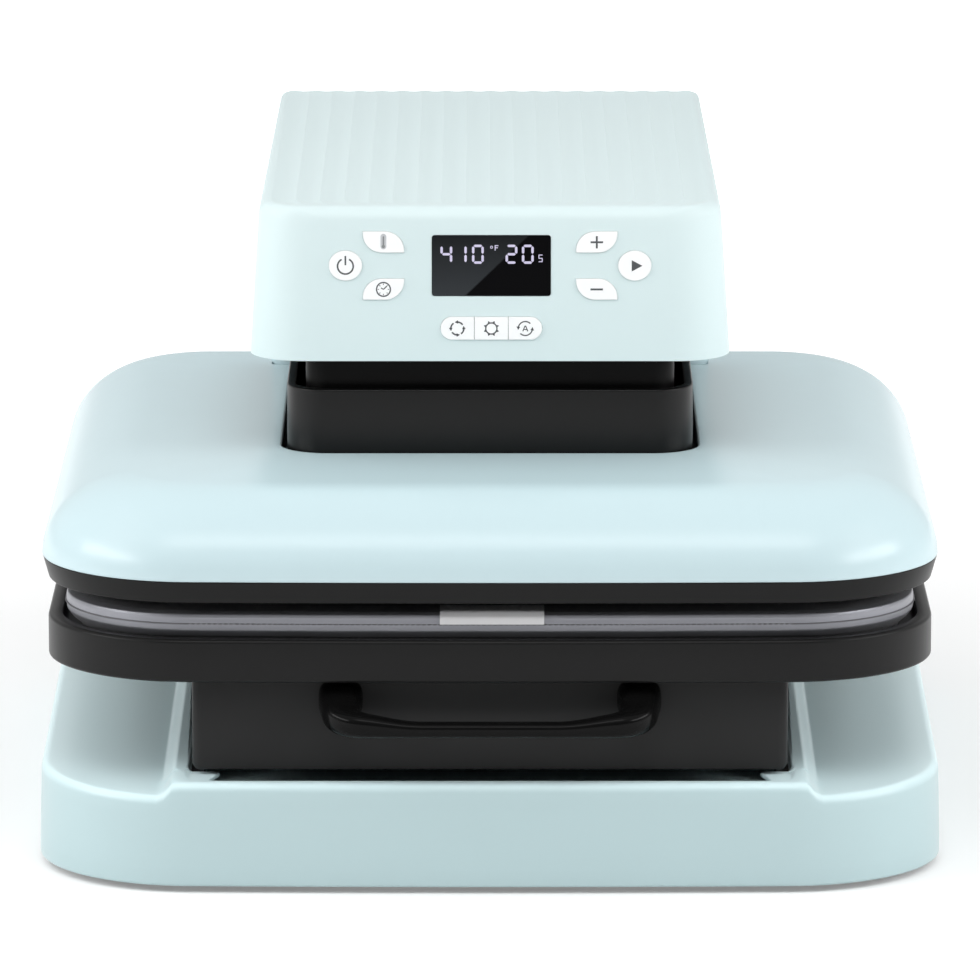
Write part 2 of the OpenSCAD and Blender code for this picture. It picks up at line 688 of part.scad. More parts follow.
module display_window() color([0.05, 0.05, 0.06]) on_panel(0, panel_h)
    panel_prism(round_rect(display_w, display_h, display_r), -wall, wall + run_gap);

module control_board() color(green) {
    difference() {
        on_panel(0, 0) translate([-pcb_w / 2, pcb_v, board_front - pcb_t]) cube([pcb_w, pcb_h, pcb_t]);
        for (s = [-1, 1], v = boss_v) on_panel(s * boss_u, v) translate([0, 0, board_front - 2 * pcb_t])
            cylinder(h = 3 * pcb_t, r = boss_hole_r);
    }
    for (p = key_places) on_panel(p[0], p[1]) translate([-switch_w / 2, -switch_w / 2, board_front])
        cube([switch_w, switch_w, switch_h]);
    on_panel(0, panel_h) translate([-display_w / 2 - display_rim, -display_h / 2 - display_rim, board_front])
        cube([display_w + 2 * display_rim, display_h + 2 * display_rim, -board_front - wall]);
}

// A key and the flange behind it; the three keys of the row share their width, so flanges there stop short
row_first = 6;
module key(i) color(white) on_panel(key_places[i][0], key_places[i][1]) {
    room = i < row_first ? 2 * (leaf_w + round_w) : row_key - run_gap;
    panel_prism(key_shapes(0)[i], -wall - fit_gap, wall + fit_gap + key_proud);
    translate([0, 0, -wall - fit_gap - key_flange_t]) linear_extrude(key_flange_t) intersection() {
        polygon(key_shapes(flange_w)[i]);
        square([room, 2 * (row_h + round_h)], center = true);
    }
}
module power_key() key(0);
module temperature_key() key(1);
module timer_key() key(2);
module plus_key() key(3);
module minus_key() key(4);
module start_key() key(5);
module repeat_key() key(6);
module settings_key() key(7);
module auto_key() key(8);

// Electrics in the head's back and on the rear panel
power_gap = 6;
power_w = 130;
post_h = 8;
coil_x = 32;
coil_w = 40;
coil_h = 18;
can_x = 10;
can_pitch = 19;
can_r = 7;
can_h = 17;
sink_t = 6;
module power_board() color(green) {
    front = motor_d + motor_r + motor_foot + power_gap;
    back = frame_bolt_d - bolt_head_r - power_gap;
    mid = (front + back) / 2;
    z = arm_top + post_h + pcb_t;
    block([-power_w / 2, power_w / 2], [front, back], [arm_top + post_h, z]);
    for (s = [-1, 1], d = [front + pcb_inset, back - pcb_inset])
        post(s * (power_w / 2 - pcb_inset), d, arm_top, post_h, boss_r);
    block([-coil_x - coil_w / 2, -coil_x + coil_w / 2], [mid - coil_w / 2, mid + coil_w / 2],
        [z, z + coil_h]);
    for (i = [0:2]) post(can_x + i * can_pitch, mid - can_pitch, z, can_h, can_r);
    block([can_x, can_x + 2 * can_pitch], [mid + can_r, mid + can_r + sink_t], [z, z + coil_h]);
}

flange_t = 2;
flange_out = 3;
inlet_body = 22;
inlet_wall = 2;
socket_depth = 20;
pin_w = 2;
pin_h = 4;
pin_back = 6;
pin_pitch = 7;
pin_low = -1.5;
pin_high = 2.5;

// Body behind the panel and flange before it, with a hollow of the given width, wall and depth
module panel_case(x, hollow_w, hollow_wall, hollow_depth) difference() {
    union() {
        block([x - inlet_w / 2, x + inlet_w / 2], [column_back - inlet_body, column_back],
            [socket_z - inlet_h / 2, socket_z + inlet_h / 2]);
        block([x - inlet_w / 2 - flange_out, x + inlet_w / 2 + flange_out],
            [column_back, column_back + flange_t],
            [socket_z - inlet_h / 2 - flange_out, socket_z + inlet_h / 2 + flange_out]);
    }
    block([x - hollow_w / 2, x + hollow_w / 2],
        [column_back + flange_t - hollow_depth, column_back + flange_t + cut],
        [socket_z - inlet_h / 2 + hollow_wall, socket_z + inlet_h / 2 - hollow_wall]);
}

module power_inlet() color(black) {
    panel_case(inlet_x, inlet_w - 2 * inlet_wall, inlet_wall, socket_depth);
    for (p = [[-pin_pitch, pin_low], [0, pin_high], [pin_pitch, pin_low]])
        block([inlet_x + p.x - pin_w / 2, inlet_x + p.x + pin_w / 2],
            [column_back + flange_t - socket_depth - cut, column_back - pin_back],
            [socket_z + p.y - pin_h / 2, socket_z + p.y + pin_h / 2]);
}

rocker_back = 6;
rocker_d = column_back - rocker_back;
rocker_pin_r = 1.5;
rocker_swing = 16;
rocker_w = 20;
rocker_half = 7.3;
rocker_out = 7.6;
rocker_dip = 1.1;
rocker_in = 4;
rocker_heel = 3;
rocker_room = 1;

module rocker_housing() color(black) difference() {
    panel_case(rocker_x, rocker_w + 2 * run_gap, rocker_room, socket_depth);
    translate([rocker_x, fy(rocker_d), socket_z]) rotate([0, 90, 0])
        cylinder(h = inlet_w - inlet_wall, r = rocker_pin_r + bore_gap, center = true);
}

module power_rocker() color("firebrick") translate([rocker_x, fy(rocker_d), socket_z])
    rotate([-rocker_swing / 2, 0, 0]) {
    rotate([90, 0, 90]) translate([0, 0, -rocker_w / 2]) linear_extrude(rocker_w)
        polygon([[-rocker_in, -rocker_heel], [rocker_in, -rocker_half], [rocker_out, -rocker_half],
            [rocker_out - rocker_dip, 0], [rocker_out, rocker_half], [rocker_in, rocker_half],
            [-rocker_in, rocker_heel]]);
    rotate([0, 90, 0]) cylinder(h = inlet_w - inlet_wall - 2 * run_gap, r = rocker_pin_r, center = true);
}

// Drawer: carriage on telescopic rails, front, handle, tray and pad
rail_mid_z = (drawer_z + tray_z) / 2;
rail_setback = 6;
rail_front = front_setback + front_t + rail_setback;
carriage_front = front_setback + front_t;
carriage_setback = 14;
carriage_back = tray_back - carriage_setback;
carriage_rise = 1;
carriage_z = drawer_z + carriage_rise;
carriage_lip = 14;
rail_gap = 0.5;
web_gap = 1.5;
rail_reach = 5;

// Channel rail whose web is at x and whose flanges reach out by reach, to either side
module channel(x, h, reach) lengthwise(let (web = x + sign(reach) * rail_t, low = rail_mid_z - h / 2,
    high = rail_mid_z + h / 2)
    [[x, low], [x + reach, low], [x + reach, low + rail_t], [web, low + rail_t],
    [web, high - rail_t], [x + reach, high - rail_t], [x + reach, high], [x, high]],
    rail_front, rail_len);
inner_x = carriage_w / 2;
middle_h = rail_h + 2 * (rail_gap + rail_t);
middle_x = inner_x + rail_t + rail_reach + web_gap + rail_t;
outer_h = middle_h + 2 * (rail_gap + rail_t);
outer_x = middle_x + web_gap + rail_t;

module inner_rails() color(steel) mirrored_x() channel(inner_x, rail_h, rail_t + rail_reach);
module middle_rails() color(steel) mirrored_x() channel(middle_x, middle_h, -rail_t - web_gap - rail_reach);
module outer_rails() color(steel) mirrored_x() channel(outer_x, outer_h, -2 * rail_t - web_gap - rail_reach);

bracket_t = 2;
bracket_foot = 6;
bracket_inset = 4;
well_w = 2 * (outer_x + bracket_foot + well_gap);
front_w = 2 * (outer_x + front_over);
module rail_brackets() color(steel) mirrored_x() {
    depth = [rail_front + bracket_inset, rail_front + rail_len - bracket_inset];
    block([outer_x, outer_x + bracket_t], depth, [well_z, rail_mid_z + outer_h / 2]);
    block([outer_x, outer_x + bracket_foot], depth, [well_z, well_z + bracket_t]);
}

front_r = 3;
module drawer_front() color(black) difference() {
    translate([0, 0, (drawer_z + tray_floor_z) / 2])
        lengthwise(round_rect(front_w, tray_floor_z - drawer_z, front_r), front_setback, front_t);
    handle_screw_places() rotate([-90, 0, 0])
        cylinder(h = front_t * 3, r = handle_screw_r + fit_gap, center = true);
}

module drawer_carriage() color(black) {
    block([-carriage_w / 2, carriage_w / 2], [carriage_front, carriage_back],
        [carriage_z, carriage_z + carriage_t]);
    mirrored_x() block([carriage_w / 2 - carriage_t, carriage_w / 2], [carriage_front, carriage_back],
        [carriage_z, tray_floor_z]);
    mirrored_x() block([carriage_w / 2 - carriage_lip, carriage_w / 2], [carriage_front, carriage_back],
        [tray_floor_z - carriage_t, tray_floor_z]);
    block([-carriage_w / 2, carriage_w / 2], [carriage_back - carriage_t, carriage_back],
        [carriage_z, tray_floor_z]);
}

stop_inset = 47;
stop_x = carriage_w / 2 - stop_inset;
stop_w = 20;
stop_h = 12;
stop_foot = 4;
stop_foot_t = 3;
module drawer_switch() color(black) {
    block([stop_x - stop_w / 2, stop_x + stop_w / 2], [carriage_back + run_gap, well_back - stop_foot_t],
        [well_z, carriage_z + stop_h]);
    block([stop_x - stop_w / 2 - stop_foot, stop_x + stop_w / 2 + stop_foot],
        [carriage_back + stop_foot, well_back], [well_z, well_z + stop_foot_t]);
}

bend_r = 12;
rose_t = 1.5;
rose_w = 1;
handle_screw_r = 2;
handle_screw_in = 7;
handle_head_r = 3.8;
handle_head_t = 2.4;
handle_x = (handle_w - handle_dia) / 2;
handle_z = drawer_z + handle_h;
module handle_screw_places() for (s = [-1, 1])
    translate([s * handle_x, fy(front_setback), handle_z]) children();

// Handle in its own frame: legs run along y from the root, the bar lies across their ends
module handle_bar() {
    r = handle_dia / 2;
    mirrored_x() {
        translate([handle_x, -handle_reach + bend_r, 0]) rotate([-90, 0, 0])
            cylinder(h = handle_reach, r = r);
        translate([handle_x - bend_r, -handle_reach + bend_r, 0]) rotate([0, 0, -90])
            rotate_extrude(angle = 90) translate([bend_r, 0]) circle(r = r);
    }
    translate([0, -handle_reach, 0]) rotate([0, 90, 0])
        cylinder(h = 2 * (handle_x - bend_r), r = r, center = true);
}
module drawer_handle() color(black) difference() {
    union() {
        translate([0, fy(front_setback), handle_z]) rotate([handle_tilt, 0, 0]) handle_bar();
        handle_screw_places() rotate([90, 0, 0]) cylinder(h = rose_t, r = handle_dia / 2 + rose_w);
    }
    block([-handle_w, handle_w], [front_setback, front_setback + 2 * handle_reach], [0, tray_top]);
    handle_screw_places() rotate([90, 0, 0]) cylinder(h = handle_screw_in + cut, r = handle_screw_r);
}

module handle_screws() color(steel) handle_screw_places() rotate([90, 0, 0]) {
    translate([0, 0, -front_t]) cylinder(h = front_t + handle_screw_in, r = handle_screw_r - bore_gap);
    translate([0, 0, -front_t - handle_head_t]) cylinder(h = handle_head_t, r = handle_head_r);
}

tray_edge = 2;
skirt_t = 5;
module pad_tray() color(black) difference() {
    rings = [[-tray_edge, tray_z], [-tray_edge * edge_mid, tray_z + tray_edge * edge_mid],
        [0, tray_z + tray_edge], [0, tray_top - tray_edge],
        [-tray_edge * edge_mid, tray_top - tray_edge * edge_mid], [-tray_edge, tray_top]];
    at_pad() loft([for (r = rings) at_height(pad_outline(tray_margin + r[0]), r[1])]);
    pad_prism(pad_gap, tray_top - pad_seat, pad_seat + cut);
    pad_prism(tray_margin - skirt_t, tray_z - cut, tray_floor_z - tray_z + cut);
}

// Pad: drawn-in sides with a sewn channel round them, and a low crown
pad_edge = 2.6;
pad_crown = 0.6;
pad_waist = 0.4;
seam_in = 1.5;
seam_half = 1.4;
module press_pad() color([0.62, 0.62, 0.66]) {
    seam_z = tray_top + seam_h;
    shoulder = pad_top - pad_crown - pad_edge;
    rings = concat([for (a = [0:30:90]) [-pad_edge * (1 - sin(a)), pad_z + pad_edge * (1 - cos(a))]],
        [[-pad_waist, seam_z - seam_half], [-seam_in, seam_z], [-pad_waist, seam_z + seam_half]],
        [for (a = [30:30:90]) [-pad_waist - pad_edge * (1 - cos(a)), shoulder + pad_edge * sin(a)]],
        [for (k = [0.15, 0.5, 1]) [-pad_edge - k * pad_w / 3, pad_top - pad_crown * (1 - k) * (1 - k)]]);
    at_pad() loft([for (r = rings) at_height(pad_outline(r[0]), r[1])]);
}

tag_t = 0.5;
tag_over = 14;
module pad_tag() color(white) across([[pad_front - tag_t, pad_top - tag_h],
    [pad_front - tag_t, pad_top - pad_edge], [pad_front + pad_edge - tag_t, pad_top + tag_t],
    [pad_front + tag_over, pad_top + tag_t],
    [pad_front + tag_over, pad_top], [pad_front + pad_edge, pad_top], [pad_front, pad_top - pad_edge],
    [pad_front, pad_top - tag_h]], tag_w);

// Upper platen
rim_step = 0.3;
rim_gap = 1.75;
module platen_rim() color(black) difference() {
    at_pad() loft([at_height(pad_outline(rim_margin), rim_z),
        at_height(pad_outline(cover_margin - rim_step), cover_z)]);
    pad_prism(rim_gap, rim_z - cut, rim_h + 2 * cut);
}

cover_boss_x = 130;
cover_boss_pitch = 80;
cover_boss_r = 6;
cover_screw_r = 2;
cover_screw_in = 7;
pressure_w = 300;
pressure_d = 208;
pressure_r = 8;
spacer_x = 105;
spacer_pitch = 70;
spacer_r = 7;

crown_w = 110;
// Domed cover between its lower edge and its crown, drawn in by t on every side
function cover_rings(t) = let (h = cover_h - cover_crown, m = cover_margin - t) concat(
    [for (a = [0:11.25:90]) at_height(pad_outline(m - cover_round * (1 - cos(a))), cover_z - t + h * sin(a))],
    [for (k = [0.35, 0.7, 1]) at_height(pad_outline(m - cover_round - k * crown_w),
        cover_z - t + h + cover_crown * (1 - (1 - k) * (1 - k)))]);
// Room for the neck, with its own walls when grown by t
module neck_pocket(t) block([-column_w / 2 - pocket_gap - t, column_w / 2 + pocket_gap + t],
    [neck_front - pocket_gap - t, base_d], [pocket_z - t, head_top]);

module platen_cover() color(aqua) {
    difference() {
        at_pad() loft(cover_rings(0));
        difference() {
            at_pad() loft(cover_rings(wall));
            neck_pocket(wall);
        }
        neck_pocket(0);
        at_pad() upright(round_rect(sleeve_w + 2 * hole_gap, sleeve_d + 2 * hole_gap, sleeve_r + hole_gap),
            pressure_top, head_top);
    }
    at_corners(cover_boss_x, pad_mid, cover_boss_pitch) difference() {
        translate([0, 0, pressure_top])
            cylinder(h = cover_top - cover_crown - pressure_top, r = cover_boss_r);
        translate([0, 0, pressure_top - cut]) cylinder(h = cover_screw_in + 2 * cut, r = cover_screw_r);
    }
}

module heat_plate() color("silver") pad_prism(0, plate_z, plate_t);

heater_half = 130;
heater_bend = 30;
heater_tail = 15;
module heating_element() color("dimgray") translate([0, fy(pad_mid), heater_z + fit_gap / 2]) {
    straight = heater_half - heater_bend;
    r = heater_dia / 2;
    mirrored_x() {
        translate([heater_half, 0, 0]) rotate([90, 0, 0]) cylinder(h = 2 * straight, r = r, center = true);
        translate([heater_tail, heater_half, 0]) rotate([0, 90, 0])
            cylinder(h = straight - heater_tail, r = r);
        for (s = [0, 1]) mirror([0, s, 0]) translate([straight, straight, 0])
            rotate_extrude(angle = 90) translate([heater_bend, 0]) circle(r = r);
    }
    translate([0, -heater_half, 0]) rotate([0, 90, 0]) cylinder(h = 2 * straight, r = r, center = true);
}

board_inset = 6;
module insulation_board() color("ivory") difference() {
    pad_prism(-board_inset, board_z, board_t);
    at_corners(spacer_x, pad_mid, spacer_pitch) cylinder(h = head_top, r = spacer_r + run_gap);
}

module plate_spacers() color(steel) at_corners(spacer_x, pad_mid, spacer_pitch)
    translate([0, 0, plate_top]) cylinder(h = pressure_z - plate_top, r = spacer_r);

module pressure_plate() color(steel) difference() {
    at_pad() upright(round_rect(pressure_w, pressure_d, pressure_r), pressure_z, pressure_t);
    at_corners(cover_boss_x, pad_mid, cover_boss_pitch) cylinder(h = head_top, r = cover_screw_r + fit_gap);
}

module cover_screws() color(steel) at_corners(cover_boss_x, pad_mid, cover_boss_pitch)
    translate([0, 0, pressure_z]) cylinder(h = pressure_t + cover_screw_in, r = cover_screw_r - bore_gap);

sleeve_inner_w = sleeve_w - 2 * (sleeve_t + sleeve_gap);
sleeve_inner_d = sleeve_d - 2 * (sleeve_t + sleeve_gap);
module tube_wall(w, d, r, t, z, h) at_pad() difference() {
    upright(round_rect(w, d, r), z, h);
    upright(round_rect(w - 2 * t, d - 2 * t, r - t), z - cut, h + 2 * cut);
}
module outer_sleeve() color(black)
    tube_wall(sleeve_w, sleeve_d, sleeve_r, sleeve_t, pressure_top, sleeve_top - pressure_top);
module inner_sleeve() color(black)
    tube_wall(sleeve_inner_w, sleeve_inner_d, sleeve_r - sleeve_t - sleeve_gap, sleeve_t, inner_sleeve_z,
        head_z - inner_sleeve_z);

module guide_rods() color("silver") at_corners(rod_pitch / 2, pad_mid, rod_pitch / 2)
    translate([0, 0, pressure_top]) cylinder(h = rod_top - pressure_top, r = rod_r);

nut_h = 30;
nut_wall = 7;
nut_flange_t = 6;
nut_flange_r = 24;
module drive_nut() color("goldenrod") difference() {
    union() {
        post(0, pad_mid, pressure_top, nut_flange_t, nut_flange_r);
        post(0, pad_mid, pressure_top, nut_h, screw_r + nut_wall);
    }
    post(0, pad_mid, pressure_top - cut, nut_h + 2 * cut, screw_r + bore_gap);
}

// Sensors on the heat plate, below the insulation board
sensor_x = 45;
sensor_back = 40;
sensor_r = 3;
cutout_r = 7;
cutout_rim = 2;
cutout_rim_t = 3;
module temperature_sensor() color(steel)
    post(sensor_x, pad_mid + sensor_back, plate_top, heater_dia - fit_gap, sensor_r);
module thermal_cutout() color(black) {
    post(-sensor_x, pad_mid + sensor_back, plate_top, cutout_rim_t, cutout_r + cutout_rim);
    post(-sensor_x, pad_mid + sensor_back, plate_top, heater_dia - fit_gap, cutout_r);
}

base_shell();
base_plate();
rubber_feet();
foot_screws();
column_shell();
rear_panel();
panel_screws();
column_frame();
frame_bolts();
arm_plate();
head_shell();
head_floor();
inner_sleeve();
display_window();
control_board();
gear_motor();
screw_bearing();
guide_bushes();
power_board();
power_inlet();
rocker_housing();
rail_brackets();
outer_rails();
drawer_switch();
middle_rails();
drawer_front();
drawer_carriage();
pad_tray();
press_pad();
pad_tag();
drawer_handle();
handle_screws();
inner_rails();
platen_cover();
platen_rim();
heat_plate();
heating_element();
insulation_board();
plate_spacers();
pressure_plate();
outer_sleeve();
guide_rods();
drive_nut();
temperature_sensor();
thermal_cutout();
cover_screws();
lead_screw();
screw_gear();
motor_pinion();
power_key();
temperature_key();
timer_key();
plus_key();
minus_key();
start_key();
repeat_key();
settings_key();
auto_key();
power_rocker();
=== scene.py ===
import bpy
import json
import math
import numpy as np
from functools import partial
from types import SimpleNamespace as Sizes
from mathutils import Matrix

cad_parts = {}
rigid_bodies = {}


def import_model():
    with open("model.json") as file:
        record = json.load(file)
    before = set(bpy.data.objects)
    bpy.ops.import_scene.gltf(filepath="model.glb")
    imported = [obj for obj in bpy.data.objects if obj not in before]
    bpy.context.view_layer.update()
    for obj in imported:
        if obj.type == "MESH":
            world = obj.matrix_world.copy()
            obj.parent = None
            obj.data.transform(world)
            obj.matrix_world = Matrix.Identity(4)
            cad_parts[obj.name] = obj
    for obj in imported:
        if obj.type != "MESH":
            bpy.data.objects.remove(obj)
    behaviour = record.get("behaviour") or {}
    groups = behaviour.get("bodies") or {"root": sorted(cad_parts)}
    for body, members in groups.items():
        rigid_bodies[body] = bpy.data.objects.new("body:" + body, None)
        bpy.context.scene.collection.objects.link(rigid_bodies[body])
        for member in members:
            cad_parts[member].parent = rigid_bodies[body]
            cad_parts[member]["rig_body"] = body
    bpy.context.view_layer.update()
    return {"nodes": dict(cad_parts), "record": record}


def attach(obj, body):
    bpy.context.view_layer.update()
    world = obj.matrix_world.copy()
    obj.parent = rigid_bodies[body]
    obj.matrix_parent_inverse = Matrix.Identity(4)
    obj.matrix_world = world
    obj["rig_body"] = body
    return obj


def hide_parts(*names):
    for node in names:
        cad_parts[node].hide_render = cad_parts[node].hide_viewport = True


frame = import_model()
cadNodes = frame["nodes"]
scene = bpy.context.scene

# camera, as the photograph sees the press
photoView = Sizes(lens=312.24, sensor=36, place=(0.0004, -3.8722, 0.918), tilt=78.6, turn=0.006)
lensData = bpy.data.cameras.new("photoCamera")
lensData.lens = photoView.lens
lensData.sensor_width = photoView.sensor
lensData.clip_end = 20
camera = bpy.data.objects.new("photoCamera", lensData)
camera.location = photoView.place
camera.rotation_euler = (math.radians(photoView.tilt), 0, math.radians(photoView.turn))
scene.collection.objects.link(camera)
scene.camera = camera
print("camera set")

# sizes shared by many pieces, in millimetres; depth runs back from the base's front edge
plan = Sizes(originDepth=224.061, pad=381, padRadius=57, padMid=202, bow=4, baseWidth=404, baseDepth=460,
             baseRadius=68.5, beyond=260)
millimetre = 0.001  # in the scene's metres
perMetre = 1000  # millimetres
padShift = np.array([0, plan.padMid - plan.originDepth])


# Rounded rectangle about the origin, counterclockwise seen from above: four corner arcs and the straight
# runs between them. Width, depth and radius may be arrays of rings, and the points of every ring match.
def plateLoop(width, depth, radius, arcSteps=18, sideSteps=16):
    w, d, r = [a[:, None] for a in np.broadcast_arrays(*np.atleast_1d(width, depth, radius))]
    arcs = []
    for k, (sx, sy) in enumerate(((1, -1), (1, 1), (-1, 1), (-1, -1))):
        a = np.radians(np.linspace(0, 90, arcSteps + 1) + 90 * k - 90)[None]
        arcs.append(np.stack([sx * (w / 2 - r) + r * np.cos(a), sy * (d / 2 - r) + r * np.sin(a)], -1))
    f = np.linspace(0, 1, sideSteps + 1)[None, 1:-1, None]
    runs = [arcs[k][:, -1:] * (1 - f) + arcs[(k + 1) % 4][:, :1] * f for k in range(4)]
    return np.concatenate([piece for k in range(4) for piece in (arcs[k], runs[k])], 1)


# The same with its front edge falling back towards the corners: y grows by bow (2x/w)^2 (2y/d)^2 in front.
def bowedLoop(width, depth, radius, **steps):
    loop = plateLoop(width, depth, radius, **steps)
    w, d = [a[:, None] for a in np.broadcast_arrays(*np.atleast_1d(width, depth))]
    x, y = loop[..., 0], loop[..., 1]
    y = y + plan.bow * (2 * x / w) ** 2 * np.maximum(0, -2 * y / d) ** 2
    return np.stack([x, y], -1)


def padLoop(margin, **steps):  # the pad's outline grown by a margin, in place
    m = np.atleast_1d(margin).astype(float)
    size = plan.pad + 2 * m
    loop = bowedLoop(size, size, np.maximum(plan.padRadius + m, 4), **steps)
    return loop + padShift


def baseLoop(inset, **steps):  # the base's outline drawn in, in place
    i = np.atleast_1d(inset).astype(float)
    loop = bowedLoop(plan.baseWidth - 2 * i, plan.baseDepth - 2 * i, plan.baseRadius - i, **steps)
    return loop + np.array([0, plan.baseDepth / 2 - plan.originDepth])


# Polyline with its corners rounded: each corner becomes an arc of the given radius that touches both sides.
def filletPath(corners, radii, closed=False, steps=6, share=0.499):
    p = np.array(corners, float)
    out = []
    for k in range(len(p)):
        r = radii[k] if np.ndim(radii) else radii
        if r == 0 or (not closed and k in (0, len(p) - 1)):
            out.append(p[k:k + 1])
            continue
        a, b = p[k - 1] - p[k], p[(k + 1) % len(p)] - p[k]
        la, lb = np.linalg.norm(a), np.linalg.norm(b)
        a, b = a / la, b / lb
        half = math.acos(max(-1, min(1, float(a @ b)))) / 2
        t = min(r / math.tan(half), share * la, share * lb)
        mid = (a + b) / np.linalg.norm(a + b)
        centre = p[k] + mid * t / math.cos(half)
        start, end = p[k] + a * t - centre, p[k] + b * t - centre
        f = np.linspace(0, 1, steps + 1)[:, None]
        sweep = math.pi - 2 * half
        out.append(centre + (np.sin((1 - f) * sweep) * start + np.sin(f * sweep) * end) / math.sin(sweep))
    return np.concatenate(out)


def unitRows(rows):
    return rows / np.linalg.norm(rows, axis=1, keepdims=True)


def onHeights(loops, heights):  # rings of plan points at heights, one for each ring or each point
    z = np.asarray(heights, float)
    z = np.broadcast_to(z[:, None] if z.ndim == 1 else z, loops.shape[:2])
    return np.concatenate([loops, z[..., None]], -1)


def quadRows(low, high, c, nextC):  # quads between rows of points that start at low and at high
    return np.stack([low + c, low + nextC, high + nextC, high + c], -1).reshape(-1, 4)


def circle(n):  # angles of n points round a circle
    return np.linspace(0, 2 * math.pi, n + 1)[:-1]


# Skin over rings of points: quads between neighbouring rings, and a fan to a pole at either end.
# Rings run counterclockwise, from below outwards, up and in again, so that the faces look outwards.
def ringSkin(rings, closed=False, firstPole=True, lastPole=True):
    count, n = rings.shape[:2]
    r = np.arange(count if closed else count - 1)[:, None]
    c = np.arange(n)[None]
    faces = quadRows(r * n, (r + 1) % count * n, c, (c + 1) % n).tolist()
    points = [rings.reshape(-1, 3)]
    j = np.arange(n)
    if not closed and firstPole:
        points.append(rings[:1].mean(1))
        faces += np.stack([np.full(n, count * n), (j + 1) % n, j], -1).tolist()
    if not closed and lastPole:
        last = (count - 1) * n
        top = count * n + (1 if firstPole else 0)
        points.append(rings[-1:].mean(1))
        faces += np.stack([np.full(n, top), last + j, last + (j + 1) % n], -1).tolist()
    return np.concatenate(points), faces


def joined(shapes):  # several shapes, each points and faces, as one
    allPoints, allFaces, count = [], [], 0
    for points, faces in shapes:
        allPoints.append(points)
        allFaces += [[i + count for i in face] for face in faces]
        count += len(points)
    return np.concatenate(allPoints), allFaces


def asMesh(name, points, faces, sharp=32):  # millimetres to a mesh in metres, smooth where faces meet softly
    mesh = bpy.data.meshes.new(name)
    mesh.from_pydata((np.asarray(points) * millimetre).tolist(), [], faces)
    mesh.validate()
    mesh.shade_smooth()
    mesh.set_sharp_from_angle(angle=math.radians(sharp))
    return mesh


def newObject(name, mesh):
    piece = bpy.data.objects.new(name, mesh)
    scene.collection.objects.link(piece)
    return piece


def settle(piece, body, look, replaced=()):  # finish, body and the CAD nodes that it stands for
    piece.data.materials.clear()
    piece.data.materials.append(finishes[look])
    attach(piece, body)
    if replaced:
        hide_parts(*replaced)
    return piece


def addPiece(name, shape, body, look, replaced=(), sharp=32):  # a piece from its points and faces
    return settle(newObject(name, asMesh(name, *shape, sharp=sharp)), body, look, replaced)


def addModifier(piece, name, kind, **settings):
    modifier = piece.modifiers.new(name, kind)
    for label, value in settings.items():
        setattr(modifier, label, value)
    return modifier


# What the modifiers make becomes the mesh, smooth where faces meet softly, or with its normals as they are.
def bakeModifiers(piece, sharp=32):
    bpy.context.view_layer.update()
    graph = bpy.context.evaluated_depsgraph_get()
    made = bpy.data.meshes.new_from_object(piece.evaluated_get(graph))
    piece.modifiers.clear()
    piece.data = made
    if sharp is not None:
        made.shade_smooth()
        made.set_sharp_from_angle(angle=math.radians(sharp))


def cutAway(piece, points, faces, sharp=32):  # takes a closed shape out of a piece
    cutter = newObject("cutter", asMesh("cutter", points, faces))
    addModifier(piece, "cut", "BOOLEAN", operation="DIFFERENCE", solver="EXACT", object=cutter)
    bakeModifiers(piece, sharp)
    bpy.data.objects.remove(cutter)


def roundedBox(low, high, radius):  # upright block with rounded corners in plan
    low, high = np.array(low, float), np.array(high, float)
    size = high - low
    loop = plateLoop([size[0]] * 2, [size[1]] * 2, [radius] * 2, arcSteps=6, sideSteps=2)
    loop = loop + (low[:2] + high[:2]) / 2
    return ringSkin(onHeights(loop, [low[2], high[2]]))


# A CAD node's own shape with its edges rounded: a merged copy of its mesh under a bevel.
softEdge = Sizes(merge=0.00001, flatAngle=math.radians(1), segments=2, edgeAngle=math.radians(40),
                 weight=100)


def softenedCopy(node, name, width, look):
    mesh = cadNodes[node].data.copy()
    mesh.name = name
    piece = newObject(name, mesh)
    mesh.shade_smooth()
    addModifier(piece, "weld", "WELD", merge_threshold=softEdge.merge)
    addModifier(piece, "flat", "DECIMATE", decimate_type="DISSOLVE", angle_limit=softEdge.flatAngle)
    addModifier(piece, "edge", "BEVEL", width=width * millimetre, segments=softEdge.segments,
                limit_method="ANGLE", angle_limit=softEdge.edgeAngle, use_clamp_overlap=True)
    addModifier(piece, "even", "WEIGHTED_NORMAL", keep_sharp=True, weight=softEdge.weight)
    bakeModifiers(piece, None)
    settle(piece, cadNodes[node]["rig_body"], look, (node,))


# nodes that the shaders are built from
def rgba(r, g, b):
    return (r, g, b, 1)


def grey(level):
    return (level, level, level)


def feed(tree, value, socket):  # a plain value, or a link from another node
    if hasattr(value, "is_output"):
        tree.links.new(value, socket)
    else:
        socket.default_value = value


def feedInputs(tree, node, values):
    for label, value in values.items():
        feed(tree, value, node.inputs[label])


def mathNode(tree, operation, *values):
    node = tree.nodes.new("ShaderNodeMath")
    node.operation = operation
    for value, socket in zip(values, node.inputs):
        feed(tree, value, socket)
    return node.outputs[0]


def clampNode(tree, value, low=0):  # kept between low and 1
    return mathNode(tree, "MINIMUM", mathNode(tree, "MAXIMUM", value, low), 1)


def splitNode(tree, vector):  # the vector's x, y and z
    node = tree.nodes.new("ShaderNodeSeparateXYZ")
    tree.links.new(vector, node.inputs[0])
    return node.outputs


def noiseNode(tree, place, scale, detail=2, roughness=0.5):
    node = tree.nodes.new("ShaderNodeTexNoise")
    feedInputs(tree, node, {"Detail": detail, "Roughness": roughness, "Vector": place, "Scale": scale})
    return node.outputs["Fac"]


